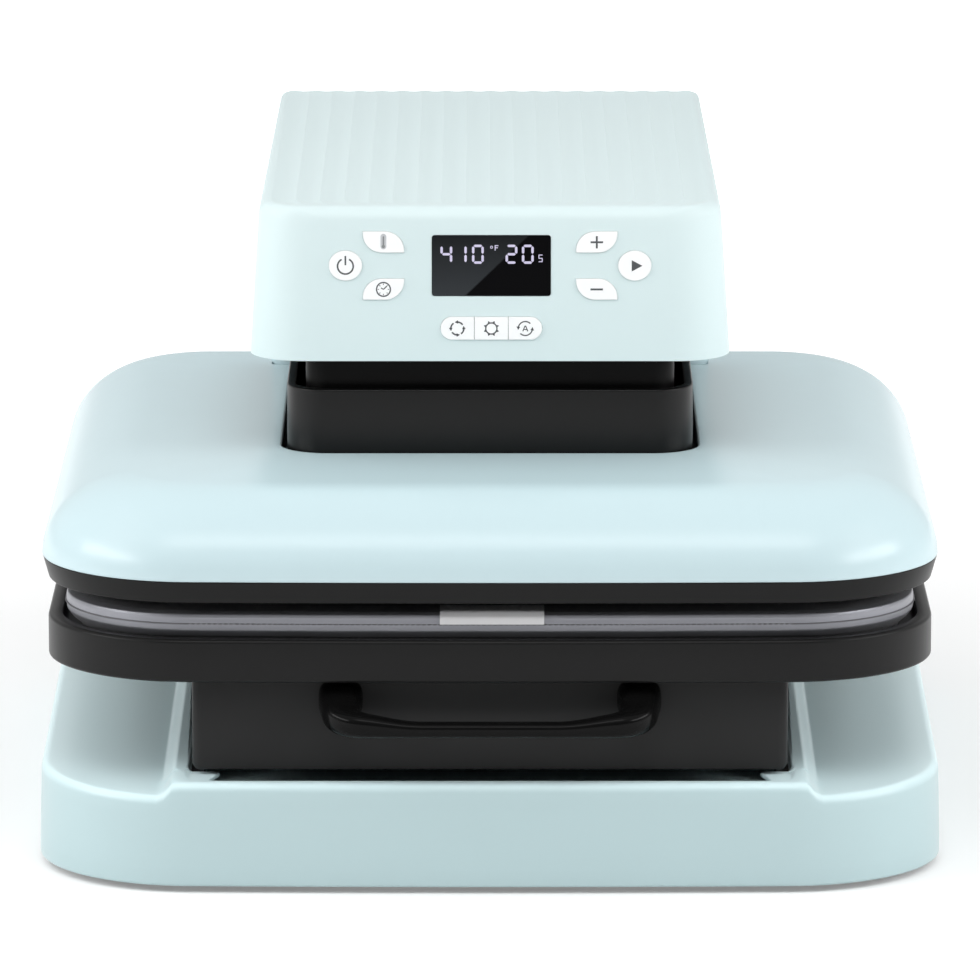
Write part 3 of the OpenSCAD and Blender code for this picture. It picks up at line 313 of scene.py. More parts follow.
def mixColour(tree, amount, first, second):
    node = tree.nodes.new("ShaderNodeMix")
    node.data_type = "RGBA"
    feedInputs(tree, node, {0: amount, 6: first, 7: second})
    return node.outputs[2]


# A shader group that gives a colour, a roughness and a height. An input without a value takes a vector,
# one with four numbers a colour, and any other a single number.
def newGroup(name, inputs):
    group = bpy.data.node_groups.new(name, "ShaderNodeTree")
    for label, value in inputs.items():
        kind = "Vector" if value is None else "Color" if isinstance(value, tuple) else "Float"
        socket = group.interface.new_socket(label, in_out="INPUT", socket_type="NodeSocket" + kind)
        if value is not None:
            socket.default_value = value
    for label, kind in (("Colour", "Color"), ("Roughness", "Float"), ("Height", "Float")):
        group.interface.new_socket(label, in_out="OUTPUT", socket_type="NodeSocket" + kind)
    return group, group.nodes.new("NodeGroupInput").outputs, group.nodes.new("NodeGroupOutput")


# Moulded plastic: a fine grain, a slow drift of tone, a thin film of dust on what faces up, and, where
# asked, painted light: a lighter colour mixed in on what faces up
def makePlasticGroup():
    middle = rgba(*grey(0.5))
    group, into, out = newGroup("mouldedPlastic", {
        "Place": None, "Facing": None, "Colour": middle, "Drift": middle, "Gloss": 0.3, "Gloss Drift": 0.05,
        "Grain Scale": 2500, "Dust": 0.0, "Painted Light Share": 0.0, "Painted Light Colour": middle})
    calc = partial(mathNode, group)
    grain = noiseNode(group, into["Place"], into["Grain Scale"], 3, 0.6)
    slow = noiseNode(group, into["Place"], 9, 3)
    smear = noiseNode(group, into["Place"], 60, 4, 0.6)
    upward = calc("MAXIMUM", splitNode(group, into["Facing"])[2], 0)
    dust = calc("MULTIPLY", calc("MULTIPLY", upward, into["Dust"]), smear)
    tone = mixColour(group, slow, into["Colour"], into["Drift"])
    # painted light: what faces up is mixed towards a lighter colour
    tone = mixColour(group, calc("MULTIPLY", upward, into["Painted Light Share"]), tone, into["Painted Light Colour"])
    rough = calc("MULTIPLY_ADD", calc("SUBTRACT", smear, 0.5), into["Gloss Drift"], into["Gloss"])
    tone = mixColour(group, dust, tone, rgba(0.62, 0.62, 0.6))
    feedInputs(group, out, {"Colour": tone, "Roughness": calc("ADD", rough, dust), "Height": grain})
    return group


# Sheet metal: streaks drawn out along one way, and blotches where the plating is thinner
def makeMetalGroup():
    group, into, out = newGroup("drawnMetal", {
        "Place": None, "Colour": rgba(*grey(0.6)), "Stain": rgba(*grey(0.4)), "Gloss": 0.3})
    calc = partial(mathNode, group)
    stretch = group.nodes.new("ShaderNodeMapping")
    stretch.inputs["Scale"].default_value = (40, 1600, 1600)
    group.links.new(into["Place"], stretch.inputs["Vector"])
    streak = noiseNode(group, stretch.outputs[0], 1, 3, 0.6)
    blotch = noiseNode(group, into["Place"], 35, 4, 0.6)
    share = calc("MULTIPLY", blotch, streak)
    rough = calc("MULTIPLY_ADD", calc("SUBTRACT", streak, 0.5), 0.25, into["Gloss"])
    tone = mixColour(group, share, into["Colour"], into["Stain"])
    feedInputs(group, out, {"Colour": tone, "Roughness": rough, "Height": streak})
    return group


# Plain weave: two sets of threads over and under each other, and a dull bloom over the cloth. The threads
# seen on a face run along the two ways that it does not look along, mixed by where it faces.
def makeWeaveGroup():
    group, into, out = newGroup("silverWeave", {
        "Place": None, "Facing": None, "Threads": 9000, "Light": rgba(*grey(0.7)), "Dark": rgba(*grey(0.4)),
        "Gloss": 0.4})
    calc = partial(mathNode, group)
    x, y, z = splitNode(group, into["Place"])
    along = calc("ADD", x, calc("MULTIPLY", y, 0.001))
    waves = [calc("SINE", calc("MULTIPLY", way, into["Threads"])) for way in (along, y, z)]
    shares = [calc("POWER", calc("ABSOLUTE", way), 2) for way in splitNode(group, into["Facing"])]
    parts = [calc("MULTIPLY", calc("MULTIPLY", waves[k - 2], waves[k - 1]), shares[k]) for k in range(3)]
    weave = calc("ADD", parts[0], calc("ADD", parts[1], parts[2]))
    level = calc("MULTIPLY_ADD", weave, 0.5, 0.5)
    bloom = noiseNode(group, into["Place"], 28, 4, 0.6)
    share = calc("MULTIPLY_ADD", level, 0.45, calc("MULTIPLY", bloom, 0.5))
    rough = calc("MULTIPLY_ADD", calc("SUBTRACT", bloom, 0.5), 0.2, into["Gloss"])
    tone = mixColour(group, share, into["Dark"], into["Light"])
    feedInputs(group, out, {"Colour": tone, "Roughness": rough, "Height": level})
    return group


plasticGroup = makePlasticGroup()
metalGroup = makeMetalGroup()
weaveGroup = makeWeaveGroup()
finishes = {}


def newMaterial(name):  # a material among the finishes, with its node tree and its Principled shader
    material = bpy.data.materials.new(name)
    material.use_nodes = True
    finishes[name] = material
    return material.node_tree, material.node_tree.nodes["Principled BSDF"]


# A finish: one group with its own values feeding a Principled shader, with the group's height as bump
def finish(name, group, values, bump, plain):
    tree, shader = newMaterial(name)
    look = tree.nodes.new("ShaderNodeGroup")
    look.node_tree = group
    place = tree.nodes.new("ShaderNodeTexCoord").outputs
    feedInputs(tree, look, {"Place": place["Object"], **values})
    if "Facing" in look.inputs:
        tree.links.new(place["Normal"], look.inputs["Facing"])
    made = look.outputs
    relief = tree.nodes.new("ShaderNodeBump")
    feedInputs(tree, relief, {"Strength": bump[0], "Distance": bump[1], "Height": made["Height"]})
    feedInputs(tree, shader, {"Base Color": made["Colour"], "Roughness": made["Roughness"],
                              "Normal": relief.outputs["Normal"], **plain})


def plastic(name, colour, drift, gloss, grain=2500, glossDrift=0.05, dust=0.02, bump=0.06, deep=0.0001,
            shine=0.5, top=None):
    values = {"Colour": rgba(*colour), "Drift": rgba(*drift), "Gloss": gloss, "Gloss Drift": glossDrift,
              "Grain Scale": grain, "Dust": dust}
    # top is a painted light colour for what faces up
    if top:
        values.update({"Painted Light Share": 1.0, "Painted Light Colour": rgba(*top)})
    finish(name, plasticGroup, values, (bump, deep), {"Specular IOR Level": shine})


def metal(name, colour, stain, gloss):
    values = {"Colour": rgba(*colour), "Stain": rgba(*stain), "Gloss": gloss}
    finish(name, metalGroup, values, (0.05, 0.00005), {"Metallic": 1.0})


# head, cover and base are one aqua plastic; these finishes are lit and shaded copies of it, painted lighter
# on the head and darker on the cover and base
housing = {"glossDrift": 0.01, "dust": 0.01, "bump": 0.003}
plastic("headAqua", (0.66, 0.775, 0.78), (0.65, 0.77, 0.78), 0.38, glossDrift=0.01, dust=0.01, bump=0.004,
        shine=0.25)
plastic("coverAqua", (0.545, 0.69, 0.725), (0.54, 0.687, 0.725), 0.26, **housing)
# painted light: the base's upward faces, shaded by the tray above, are painted lighter
plastic("baseAqua", (0.475, 0.62, 0.64), (0.47, 0.617, 0.64), 0.28, **housing, top=(0.77, 0.965, 0.995))
plastic("blackShell", (0.0065, 0.0065, 0.0067), grey(0.008), 0.33, 3200, 0.03, 0.004, 0.02, shine=0.18)
plastic("drawerBlack", (0.025, 0.025, 0.0255), grey(0.027), 0.36, 3000, 0.03, 0.003, 0.015, shine=0.1)
deepBlack = (0.003, 0.003, 0.0031)
plastic("sleeveBlack", deepBlack, grey(0.004), 0.3, 3000, 0.03, 0.003, 0.015, shine=0.27)
plastic("innerBlack", deepBlack, grey(0.004), 0.42, 3000, dust=0.003, bump=0.015, shine=0.1)
plastic("handleBlack", deepBlack, grey(0.004), 0.17, 2400, dust=0.002, bump=0.01, shine=0.1)
plastic("carriageBlack", grey(0.02), grey(0.026), 0.5, 1800, bump=0.25)
plastic("socketBlack", grey(0.012), grey(0.016), 0.42, 2600)
plastic("rockerBlack", (0.02, 0.02, 0.021), (0.024, 0.024, 0.025), 0.3, 2600)
plastic("plateCoat", (0.014, 0.014, 0.015), (0.02, 0.02, 0.021), 0.5, 2200, dust=0)
plastic("keyWhite", (0.93, 0.935, 0.94), (0.92, 0.93, 0.935), 0.3, glossDrift=0.01, dust=0, bump=0.003)
inked = {"dust": 0, "bump": 0.02, "deep": 0.00005}
plastic("keyInk", (0.055, 0.06, 0.065), (0.07, 0.075, 0.08), 0.5, **inked)
plastic("paleInk", (0.5, 0.51, 0.53), (0.54, 0.55, 0.57), 0.5, **inked)
plastic("greyInk", (0.2, 0.21, 0.22), (0.24, 0.25, 0.26), 0.5, **inked)
plastic("footRubber", grey(0.02), grey(0.03), 0.75, 1600, dust=0.03, bump=0.3, deep=0.0002)
plastic("gearWhite", (0.8, 0.79, 0.75), (0.77, 0.76, 0.72), 0.45)
plastic("boardGreen", (0.015, 0.09, 0.04), (0.02, 0.11, 0.05), 0.4, 4000)
plastic("insulation", (0.72, 0.69, 0.6), (0.66, 0.62, 0.53), 0.9, 900, bump=0.5, deep=0.0004)
plastic("seamThread", (0.12, 0.12, 0.13), (0.17, 0.17, 0.18), 0.8, 5000, dust=0, bump=0.4)
plastic("tagFilm", (0.7, 0.7, 0.71), (0.66, 0.66, 0.67), 0.35, 1400, bump=0.08)
metal("steel", grey(0.58), (0.4, 0.4, 0.39), 0.34)
metal("railSteel", grey(0.2), grey(0.13), 0.55)
metal("plateAlloy", (0.62, 0.62, 0.63), (0.5, 0.5, 0.51), 0.38)
metal("bronze", (0.55, 0.36, 0.16), (0.4, 0.25, 0.1), 0.35)
cloth = {"Threads": 7800, "Light": rgba(0.37, 0.375, 0.41), "Dark": rgba(0.23, 0.235, 0.26), "Gloss": 0.36}
finish("padCloth", weaveGroup, cloth, (0.35, 0.00012), {"Metallic": 0.6, "Sheen Weight": 0.1})
slotFinish = {"aqua_shell": "baseAqua", "black_shell": "blackShell", "black_metal": "carriageBlack",
              "steel": "steel", "alloy": "plateAlloy", "bronze": "bronze", "foot_rubber": "footRubber",
              "pad_cloth": "padCloth", "tag_film": "tagFilm", "white_key": "keyWhite",
              "display_glass": "socketBlack", "circuit": "boardGreen", "insulation": "insulation"}
for subpart in frame["record"]["subparts"]:
    node = cadNodes[subpart["node"]]
    node.data.materials.clear()
    node.data.materials.append(finishes[slotFinish[subpart["material_slot"]]])
cadNodes["screw_gear"].data.materials[0] = finishes["gearWhite"]
print("finishes made", len(finishes))

# base housing
base = Sizes(foot=3, ledge=49.4, rise=19.6, drop=6.2, ridgeAt=139.2, ridgeWidth=6.8, edge=4.2, draft=0.7,
             wall=3, cavity=39, wellFloor=42, wellHalf=133.9, mouthFront=125, mouthBack=119, lip=8.5,
             wellFront=28, wellBack=399.5, lipRound=0.9, pocketHalf=102.7, pocketFront=405.3, seat=51,
             pocketTop=120, lean=2.2, undercut=4.5, lipThick=1.6, roofReach=14, footRise=8, wellRound=2.5,
             middle=210)
baseSteps = {"arcSteps": 30, "sideSteps": 56}


def softStep(t):  # from 0 to 1 with soft ends
    t = np.clip(t, 0, 1)
    return t * t * (3 - 2 * t)


# Height of the base's top at a place: a plane that rises to the back, less the drop beyond the ridge,
# flattened to the ledge beside the drawer.
def baseTop(x, y):
    depth = y + plan.originDepth
    z = base.ledge + base.rise * np.clip(depth / plan.baseDepth, 0, 1)
    away = np.abs(x) - base.ridgeAt
    z = z - base.drop * softStep(away / base.ridgeWidth)
    beside = np.maximum(np.abs(x) - base.wellHalf, base.lip - depth)
    slope = base.ledge + np.maximum(beside, 0) * base.lean
    return np.where(depth < base.wellBack, np.minimum(z, slope), z)


# Points of the drawer well's edge, grown outwards, one for each of the n points of the base's outline: the
# edge is walked at a pace that puts its corners opposite the outline's corners.
def wellLoop(grow, n):
    b = base
    corners = [(-b.mouthFront, b.lip), (b.mouthFront, b.lip), (b.mouthBack, b.wellFront),
               (b.wellHalf, b.wellFront), (b.wellHalf, b.wellBack),
               (-b.wellHalf, b.wellBack), (-b.wellHalf, b.wellFront),
               (-b.mouthBack, b.wellFront)]
    shift = [(-1, 1), (1, 1), (1, 1), (1, 1), (1, -1), (-1, -1), (-1, 1), (-1, 1)]
    p = np.array(corners, float) + grow * np.array(shift, float) * np.array([1, -1])
    p = p - np.array([0, plan.originDepth])
    edge = filletPath(p, b.wellRound, closed=True, steps=5)
    edge = np.concatenate([edge, edge[:1]])
    run = np.concatenate([[0], np.cumsum(np.linalg.norm(np.diff(edge, axis=0), axis=1))])
    marks = [run[np.argmin(np.linalg.norm(edge[:-1] - q, axis=1))] for q in p]
    arc, side = baseSteps["arcSteps"], baseSteps["sideSteps"]
    quarter = arc + side
    # outline order: front right corner, right, back right corner, back, back left, left, front left, front
    stops = [-2, 0.35 * arc, 0.6 * arc, quarter + arc / 2, 2 * quarter + arc / 2,
             3 * quarter + 0.4 * arc, 3 * quarter + 0.65 * arc, n - side + 2]
    walk = marks[1:] + [run[-1] + marks[0]]
    stops.append(stops[0] + n)
    walk.append(walk[0] + run[-1])
    pace = np.interp((np.arange(n) + 2) % n - 2, stops, walk) % run[-1]
    return np.stack([np.interp(pace, run, edge[:, k]) for k in range(2)], -1)


def buildBase():
    b = base
    inner = baseLoop(b.edge, **baseSteps)[0]
    topEdge = baseTop(*inner.T)
    a = np.linspace(0, math.pi / 2, 9)
    footTop = b.foot + b.footRise
    under = filletPath([(b.wall + b.roofReach, b.cavity), (b.wall, b.cavity), (b.wall, b.foot),
                        (0, b.foot), (0, footTop)], [0, 1, 0.5, 2.2, 0], steps=5)
    rings = [onHeights(baseLoop(under[:, 0], **baseSteps), under[:, 1])]
    for f in np.linspace(0.3, 1, 6):
        z = footTop + (topEdge - b.edge - b.foot - b.footRise) * f
        rings.append(onHeights(baseLoop(b.draft * f, **baseSteps), z[None]))
    inset = b.draft + (b.edge - b.draft) * (1 - np.cos(a[1:]))
    rings.append(onHeights(baseLoop(inset, **baseSteps), topEdge - b.edge * (1 - np.sin(a[1:, None]))))
    lip, well, under = [wellLoop(grow, len(inner)) for grow in (b.lipRound, 0, b.undercut)]
    q = np.concatenate([np.linspace(0.02, 0.76, 34), np.linspace(0.77, 1, 44)])[:, None, None]
    across = inner[None] * (1 - q) + lip[None] * q
    rings.append(onHeights(across, baseTop(across[..., 0], across[..., 1])))
    c = np.linspace(0, math.pi / 2, 5)[1:, None, None]
    bend = lip[None] + (well - lip)[None] * np.sin(c)
    rings.append(onHeights(bend, baseTop(*lip.T)[None] - b.lipRound * (1 - np.cos(c[:, :, 0]))))
    centre = np.array([0, b.middle - plan.originDepth])
    rings.append(onHeights(well[None], [b.ledge - b.lipThick + 0.1]))
    rings.append(onHeights(under[None], [b.ledge - b.lipThick]))
    for shrink, z in ((0, b.wellFloor + 1), (0.003, b.wellFloor + 0.2), (0.007, b.wellFloor),
                      (0.4, b.wellFloor)):
        rings.append(onHeights((under + (centre - under) * shrink)[None], [z]))
    return ringSkin(np.concatenate(rings))


basePiece = newObject("baseHousing", asMesh("baseHousing", *buildBase(), sharp=40))
cutAway(basePiece, *roundedBox((-base.pocketHalf, base.pocketFront - plan.originDepth, base.seat),
                               (base.pocketHalf, plan.beyond, base.pocketTop), 0.5), 40)
settle(basePiece, "frame", "baseAqua", ("base_shell",))
print("base made")

# upper platen: domed cover with the sleeve's opening and the neck's pocket, and the black rim below it
cover = Sizes(low=140.2, margin=9.5, round=44, height=37, bendAngle=86.3, crownReach=113, crownRise=3.08,
              openingWidth=188, openingDepth=206.4, openingRadius=21.5, lip=1.3, openingInset=102, wall=3,
              pocketHalf=103.7, pocketFront=317, pocketFloor=162.2, pocketRound=5)
platenSteps = {"arcSteps": 24, "sideSteps": 24}


# Height above the cover's lower edge at an inset from its outline: an elliptical edge, then a parabola
def coverRise(inset):
    c = cover
    bend = c.round * (1 - math.cos(math.radians(c.bendAngle)))
    edge = c.height * np.sqrt(np.clip(1 - (1 - np.minimum(inset, bend) / c.round) ** 2, 0, 1))
    k = np.clip((inset - bend) / c.crownReach, 0, 1)
    return edge + c.crownRise * (1 - (1 - k) ** 2)


def coverOuter():
    c = cover
    a = np.radians(np.linspace(1.5, c.bendAngle, 44))
    inset = np.concatenate([[0.7, 0.25, 0.05], c.round * (1 - np.cos(a))])
    rise = np.concatenate([[0, 0.1, 0.4], c.height * np.sin(a)])
    rings = [onHeights(padLoop(c.margin - inset, **platenSteps), c.low + rise)]

    def opening(grow):
        g = np.atleast_1d(grow)
        width, depth = c.openingWidth + 2 * g, c.openingDepth + 2 * g
        return plateLoop(width, depth, c.openingRadius + g, **platenSteps) + padShift
    first = padLoop(c.margin - inset[-1], **platenSteps)
    last = opening(c.lip)
    q = np.linspace(0, 1, 26)[1:, None, None]
    s = inset[-1] + (c.openingInset - inset[-1]) * q[:, 0, 0]
    rings.append(onHeights(first * (1 - q) + last * q, c.low + coverRise(s)))
    top = c.low + float(coverRise(c.openingInset))
    b = np.linspace(0, math.pi / 2, 7)[1:]
    rings.append(onHeights(opening(c.lip * (1 - np.sin(b))), top - c.lip * (1 - np.cos(b))))
    rings.append(onHeights(opening([0]), [c.low]))
    return ringSkin(np.concatenate(rings), closed=True)


def coverHollow():
    c = cover
    a = np.radians(np.linspace(0, c.bendAngle, 20))
    inset = np.concatenate([c.round * (1 - np.cos(a)), np.linspace(50, 150, 6)])
    loops = padLoop(c.margin - c.wall - inset, arcSteps=10, sideSteps=4)
    heights = c.low - c.wall + coverRise(inset)
    rings = np.concatenate([onHeights(loops[:1], [c.low - 6]), onHeights(loops, heights)])
    return ringSkin(rings)


def placesOf(mesh, kind=np.float32):  # the mesh's points as rows of x, y and z
    places = np.empty(len(mesh.vertices) * 3, kind)
    mesh.vertices.foreach_get("co", places)
    return places.reshape(-1, 3)


def neckPocket(grow):
    c = cover
    front = c.pocketFront - plan.originDepth - grow
    return roundedBox((-c.pocketHalf - grow, front, c.pocketFloor - grow),
                      (c.pocketHalf + grow, plan.beyond, plan.beyond), c.pocketRound + grow)


hollow = newObject("hollow", asMesh("hollow", *coverHollow()))
cutAway(hollow, *neckPocket(cover.wall))
coverPiece = newObject("platenCover", asMesh("platenCover", *coverOuter()))
hollowFaces = [tuple(face.vertices) for face in hollow.data.polygons]
cutAway(coverPiece, placesOf(hollow.data, np.float64) * perMetre, hollowFaces)
bpy.data.objects.remove(hollow)
cutAway(coverPiece, *neckPocket(0))
settle(coverPiece, "platen", "coverAqua", ("platen_cover",))


def carryRound(profile, loop, **steps):  # a closed profile of (margin, height) carried round an outline
    return ringSkin(onHeights(loop(profile[:, 0], **steps), profile[:, 1]), closed=True)


rim = Sizes(low=130.2, high=140.1, lowMargin=6.5, highMargin=9.3, inner=1.75)
rimProfile = filletPath([(rim.inner, rim.low), (rim.lowMargin, rim.low),
                         (rim.highMargin, rim.high), (rim.inner, rim.high)],
                        [0.5, 1.0, 0.3, 0.5], closed=True)
addPiece("platenRim", carryRound(rimProfile, padLoop, **platenSteps), "platen", "blackShell",
         ("platen_rim",))

# telescoping sleeves of the ram: width, length, corner radius, lower and upper end
sleeves = {"outer": (183, 204, 19, 156.1, 208.2), "inner": (166, 187, 10.5, 184.2, 222.6), "wall": 4}
for name, body in (("outer", "platen"), ("inner", "frame")):
    width, length, radius, low, high = sleeves[name]
    profile = filletPath([(-sleeves["wall"], low), (0, low), (0, high), (-sleeves["wall"], high)],
                         [0.3, 0.5, 0.9, 0.9], closed=True)

    def sleeveLoop(margin, width=width, length=length, radius=radius, **steps):
        return plateLoop(width + 2 * margin, length + 2 * margin, radius + margin, **steps) + padShift
    addPiece(name + "Sleeve", carryRound(profile, sleeveLoop), body,
             "sleeveBlack" if name == "outer" else "innerBlack", (name + "_sleeve",))
print("platen made")

# tray under the pad
tray = Sizes(low=94.4, high=113.8, margin=7, seat=104.2, seatMargin=0.5, floor=101.2, skirt=2, inner=-60)
trayProfile = filletPath([(tray.inner, tray.floor), (tray.skirt, tray.floor), (tray.skirt, tray.low),
                          (tray.margin, tray.low), (tray.margin, tray.high),
                          (tray.seatMargin, tray.high), (tray.seatMargin, tray.seat),
                          (tray.inner, tray.seat)], [0, 1, 0.6, 1.6, 1.8, 0.9, 1.5, 0])
trayRings = onHeights(padLoop(trayProfile[:, 0], **platenSteps), trayProfile[:, 1])
addPiece("padTray", ringSkin(trayRings), "drawer", "blackShell", ("pad_tray",))

# drawer front: a plate whose upright edges are rounder than its lower one
faceShares = np.array([0.998, 0.99, 0.5])[:, None, None]  # rings across a flat face, from its edge in
front = Sizes(width=264, low=51.9, high=101.2, corner=3, depth=20, thick=8, sideRound=4.5, lowRound=1.0,
              faceCorner=1.2)


def uprightPlate(points, depth, middle):  # from a lying frame to an upright one that faces the front
    return np.stack([points[..., 0], depth - plan.originDepth - points[..., 2], points[..., 1] + middle], -1)


def buildDrawerFront():
    f = front
    height = f.high - f.low
    outline = plateLoop(f.width, height, f.corner)[0]
    face = plateLoop(f.width - 2 * f.sideRound, height - 2 * f.lowRound, f.faceCorner)[0]
    sideways = softStep((np.abs(outline[:, 0]) - (f.width / 2 - f.corner)) / f.corner)
    r = f.lowRound + (f.sideRound - f.lowRound) * sideways
    a = np.linspace(0, math.pi / 2, 12)[:, None]
    q = (1 - np.cos(a))[..., None]
    bend = outline[None] * (1 - q) + face[None] * q
    rings = [onHeights(outline[None] * np.array([0.5, 0.99, 1])[:, None, None], [-f.thick] * 3),
             onHeights(bend, -r * (1 - np.sin(a))),
             onHeights(face[None] * faceShares, [0] * 3)]
    return ringSkin(uprightPlate(np.concatenate(rings), f.depth, (f.low + f.high) / 2))


addPiece("drawerFront", buildDrawerFront(), "drawer", "drawerBlack", ("drawer_front",))

# handle: a bar with upturned legs that widen to their roots
handle = Sizes(half=66, reach=25.3, drop=8.1, root=84, bend=20, barRise=3.3, barDepth=4.5, rootWide=9.8,
               rootRise=8.6, depth=20, flat=0.62, bendSteps=22, swellFrom=30, bendSwell=0.45,
               rootSwell=0.55)


# Section carried along a path: at each point of the path an ellipse with flattened sides, across the path
def buildHandle():
    h = handle
    legs = filletPath([(-h.half, 0.0), (-h.half, -h.reach), (h.half, -h.reach), (h.half, 0.0)],
                      [0, h.bend, h.bend, 0], steps=h.bendSteps)
    first, second = legs[1:h.bendSteps + 2], legs[h.bendSteps + 2:-1]
    path = np.concatenate([np.linspace(legs[0], first[0], 8)[:-1], first,
                           np.linspace(first[-1], second[0], 30)[1:-1], second,
                           np.linspace(second[-1], legs[-1], 8)[1:]])
    away = np.clip(-path[:, 1] / h.reach, 0, 1)
    drop = h.drop * softStep(away * 1.05)
    ahead = unitRows(np.gradient(path, axis=0))
    across = np.stack([-ahead[:, 1], ahead[:, 0]], -1)
    fromMiddle = (np.abs(path[:, 0]) - h.swellFrom) / (h.half - h.swellFrom)
    swell = h.bendSwell * softStep(fromMiddle) + h.rootSwell * (1 - softStep(away))
    wide = h.barDepth + (h.rootWide - h.barDepth) * swell
    tall = h.barRise + (h.rootRise - h.barRise) * swell
    t = circle(40)
    side, rise = [np.sign(f) * np.abs(f) ** h.flat for f in (np.cos(t), np.sin(t))]
    plane = path[:, None] + across[:, None] * (wide[:, None] * side)[..., None]
    level = h.root - drop + (tall - h.barRise) * softStep(away)
    z = level[:, None] + tall[:, None] * rise
    points = np.concatenate([plane, z[..., None]], -1)
    points[..., 1] = np.minimum(points[..., 1], 0) + h.depth - plan.originDepth
    return ringSkin(points)


addPiece("drawerHandle", buildHandle(), "drawer", "handleBlack", ("drawer_handle",), sharp=60)
print("drawer made")

# head housing: sections along its depth, each with upright sides, rounded top edges and fluted top
head = Sizes(low=222.7, height=69, front=92, depth=364, half=108, taper=2.5, frontRound=25, backRound=10,
             draft=4, edge=6, backEdge=3.4, lean=4, backLean=12, flutes=18, fluteDepth=1.15, fluteStart=6,
             fluteFade=18, backFade=30, backShare=0.6, wall=3)


def edgeFall(r, t):  # how far a rounded edge of radius r falls at distance t from its end
    return r - np.sqrt(np.clip(r * r - np.clip(r - t, 0, r) ** 2, 0, None))


# Point of the head at distance t back: its width follows the corner arcs, the top is a row of shallow
# hollows that meet in ridges and fade towards the front, and the front and back lean with the height.
def buildHead():
    h = head
    d = h.depth
    turnFront = np.radians(np.linspace(0, 90, 26))
    turnBack = np.radians(np.linspace(90, 0, 22))
    # close together round the corners and where the hollows fade, far apart between
    t = np.concatenate([h.frontRound * (1 - np.cos(turnFront)), np.linspace(26, 60, 10),
                        np.linspace(80, d - 20, 12), d - h.backRound * (1 - np.cos(turnBack))])
    half = h.half - h.taper * t / d - edgeFall(h.frontRound, t) - edgeFall(h.backRound, d - t)
    roof = h.height - edgeFall(h.edge, t) - edgeFall(h.backEdge, d - t)
    edge = h.edge + (h.backEdge - h.edge) * t / d
    up = np.linspace(0, 1, 8)[:-1]
    arc = np.linspace(0, 90, 10)
    ca, sa = np.cos(np.radians(arc)), np.sin(np.radians(arc))
    flat = half - h.draft - edge
    wallX = half[:, None] - h.draft * up
    wallZ = (roof - edge)[:, None] * up
    bendX = flat[:, None] + edge[:, None] * ca
    bendZ = (roof - edge)[:, None] + edge[:, None] * sa
    column = np.linspace(-1, 1, h.flutes * 14 + 1)[1:-1]
    wave = ((column * h.flutes / 2 + h.flutes / 2) % 1) * 2 - 1
    hollowIn = h.fluteDepth * (1 - wave ** 2)
    backFade = h.backShare * softStep((t - d + h.backFade) / h.backFade)
    fade = softStep((t - h.fluteStart) / h.fluteFade) * (1 - backFade)
    topX = flat[:, None] * column
    topZ = roof[:, None] - fade[:, None] * hollowIn
    x = np.concatenate([-wallX, -bendX, topX, bendX[:, ::-1], wallX[:, ::-1]], 1)
    z = np.concatenate([wallZ, bendZ, topZ, bendZ[:, ::-1], wallZ[:, ::-1]], 1)
    leanHere = h.lean * (1 - t / d) - h.backLean * t / d
    depth = h.front + t[:, None] + z / h.height * leanHere[:, None]
    points = np.stack([x, depth - plan.originDepth, z + h.low], -1)
    rows, cols = x.shape
    r = np.arange(rows - 1)[:, None]
    c = np.arange(cols - 1)[None]
    faces = quadRows(r * cols, (r + 1) * cols, c, c + 1).tolist()
    faces.append(list(range(cols))[::-1])
    faces.append([(rows - 1) * cols + k for k in range(cols)])
    return points.reshape(-1, 3), faces


# control panel: places on the head's front, u to the right, v up the front, w out of it
panel = Sizes(lean=math.atan(head.lean / head.height), middle=43, gap=0.12, proud=0.9, shift=0.6, cut=6)


def onPanel(points, u=0, v=0):
    p = np.asarray(points, float)
    s, c = math.sin(panel.lean), math.cos(panel.lean)
    up, out = p[..., 1] + v, p[..., 2]
    return np.stack([p[..., 0] + u + panel.shift, head.front - plan.originDepth + up * s - out * c,
                     head.low + up * c + out * s], -1)


keySizes = Sizes(ovalWidth=14.9, ovalHeight=13.5, ovalAt=64.6, leafWidth=18.5, leafHeight=9.5, leafAt=47.6,
                 leafRise=10.6, rowKey=15.2, rowHeight=10.3, rowDrop=28.2, split=0.17, leftShift=-0.6,
                 rightShift=-0.5, displayWidth=53, displayHeight=27.2, displayGap=0.3)


def ovalLoop(grow):
    t = circle(72)
    wide, tall = keySizes.ovalWidth / 2 + grow, keySizes.ovalHeight / 2 + grow
    return np.stack([wide * np.cos(t), tall * np.sin(t)], -1)


def cornersOf(w, h):
    return [(-w, -h), (w, -h), (w, h), (-w, h)]


def leafLoop(side, grow):  # two large round corners and two nearly sharp ones
    w, h = keySizes.leafWidth / 2 + grow, keySizes.leafHeight / 2 + grow
    big = keySizes.leafHeight * 0.9 + grow
    path = filletPath(cornersOf(w, h), [big, 0.4, big, 0.4], closed=True, steps=14, share=0.95)
    return path if side > 0 else path[::-1] * np.array([-1, 1])


def rowLoop(end, grow):  # a key of the row: half a stadium at either end, a plain block in the middle
    w, h = keySizes.rowKey / 2 - keySizes.split / 2 + grow, keySizes.rowHeight / 2 + grow
    if end == 0:
        return filletPath(cornersOf(w, h), 0.25, closed=True, steps=4)
    path = filletPath(cornersOf(w, h), [h * 0.998, 0.25, 0.25, h * 0.998], closed=True, steps=14)
    return path if end < 0 else path[::-1] * np.array([-1, 1])


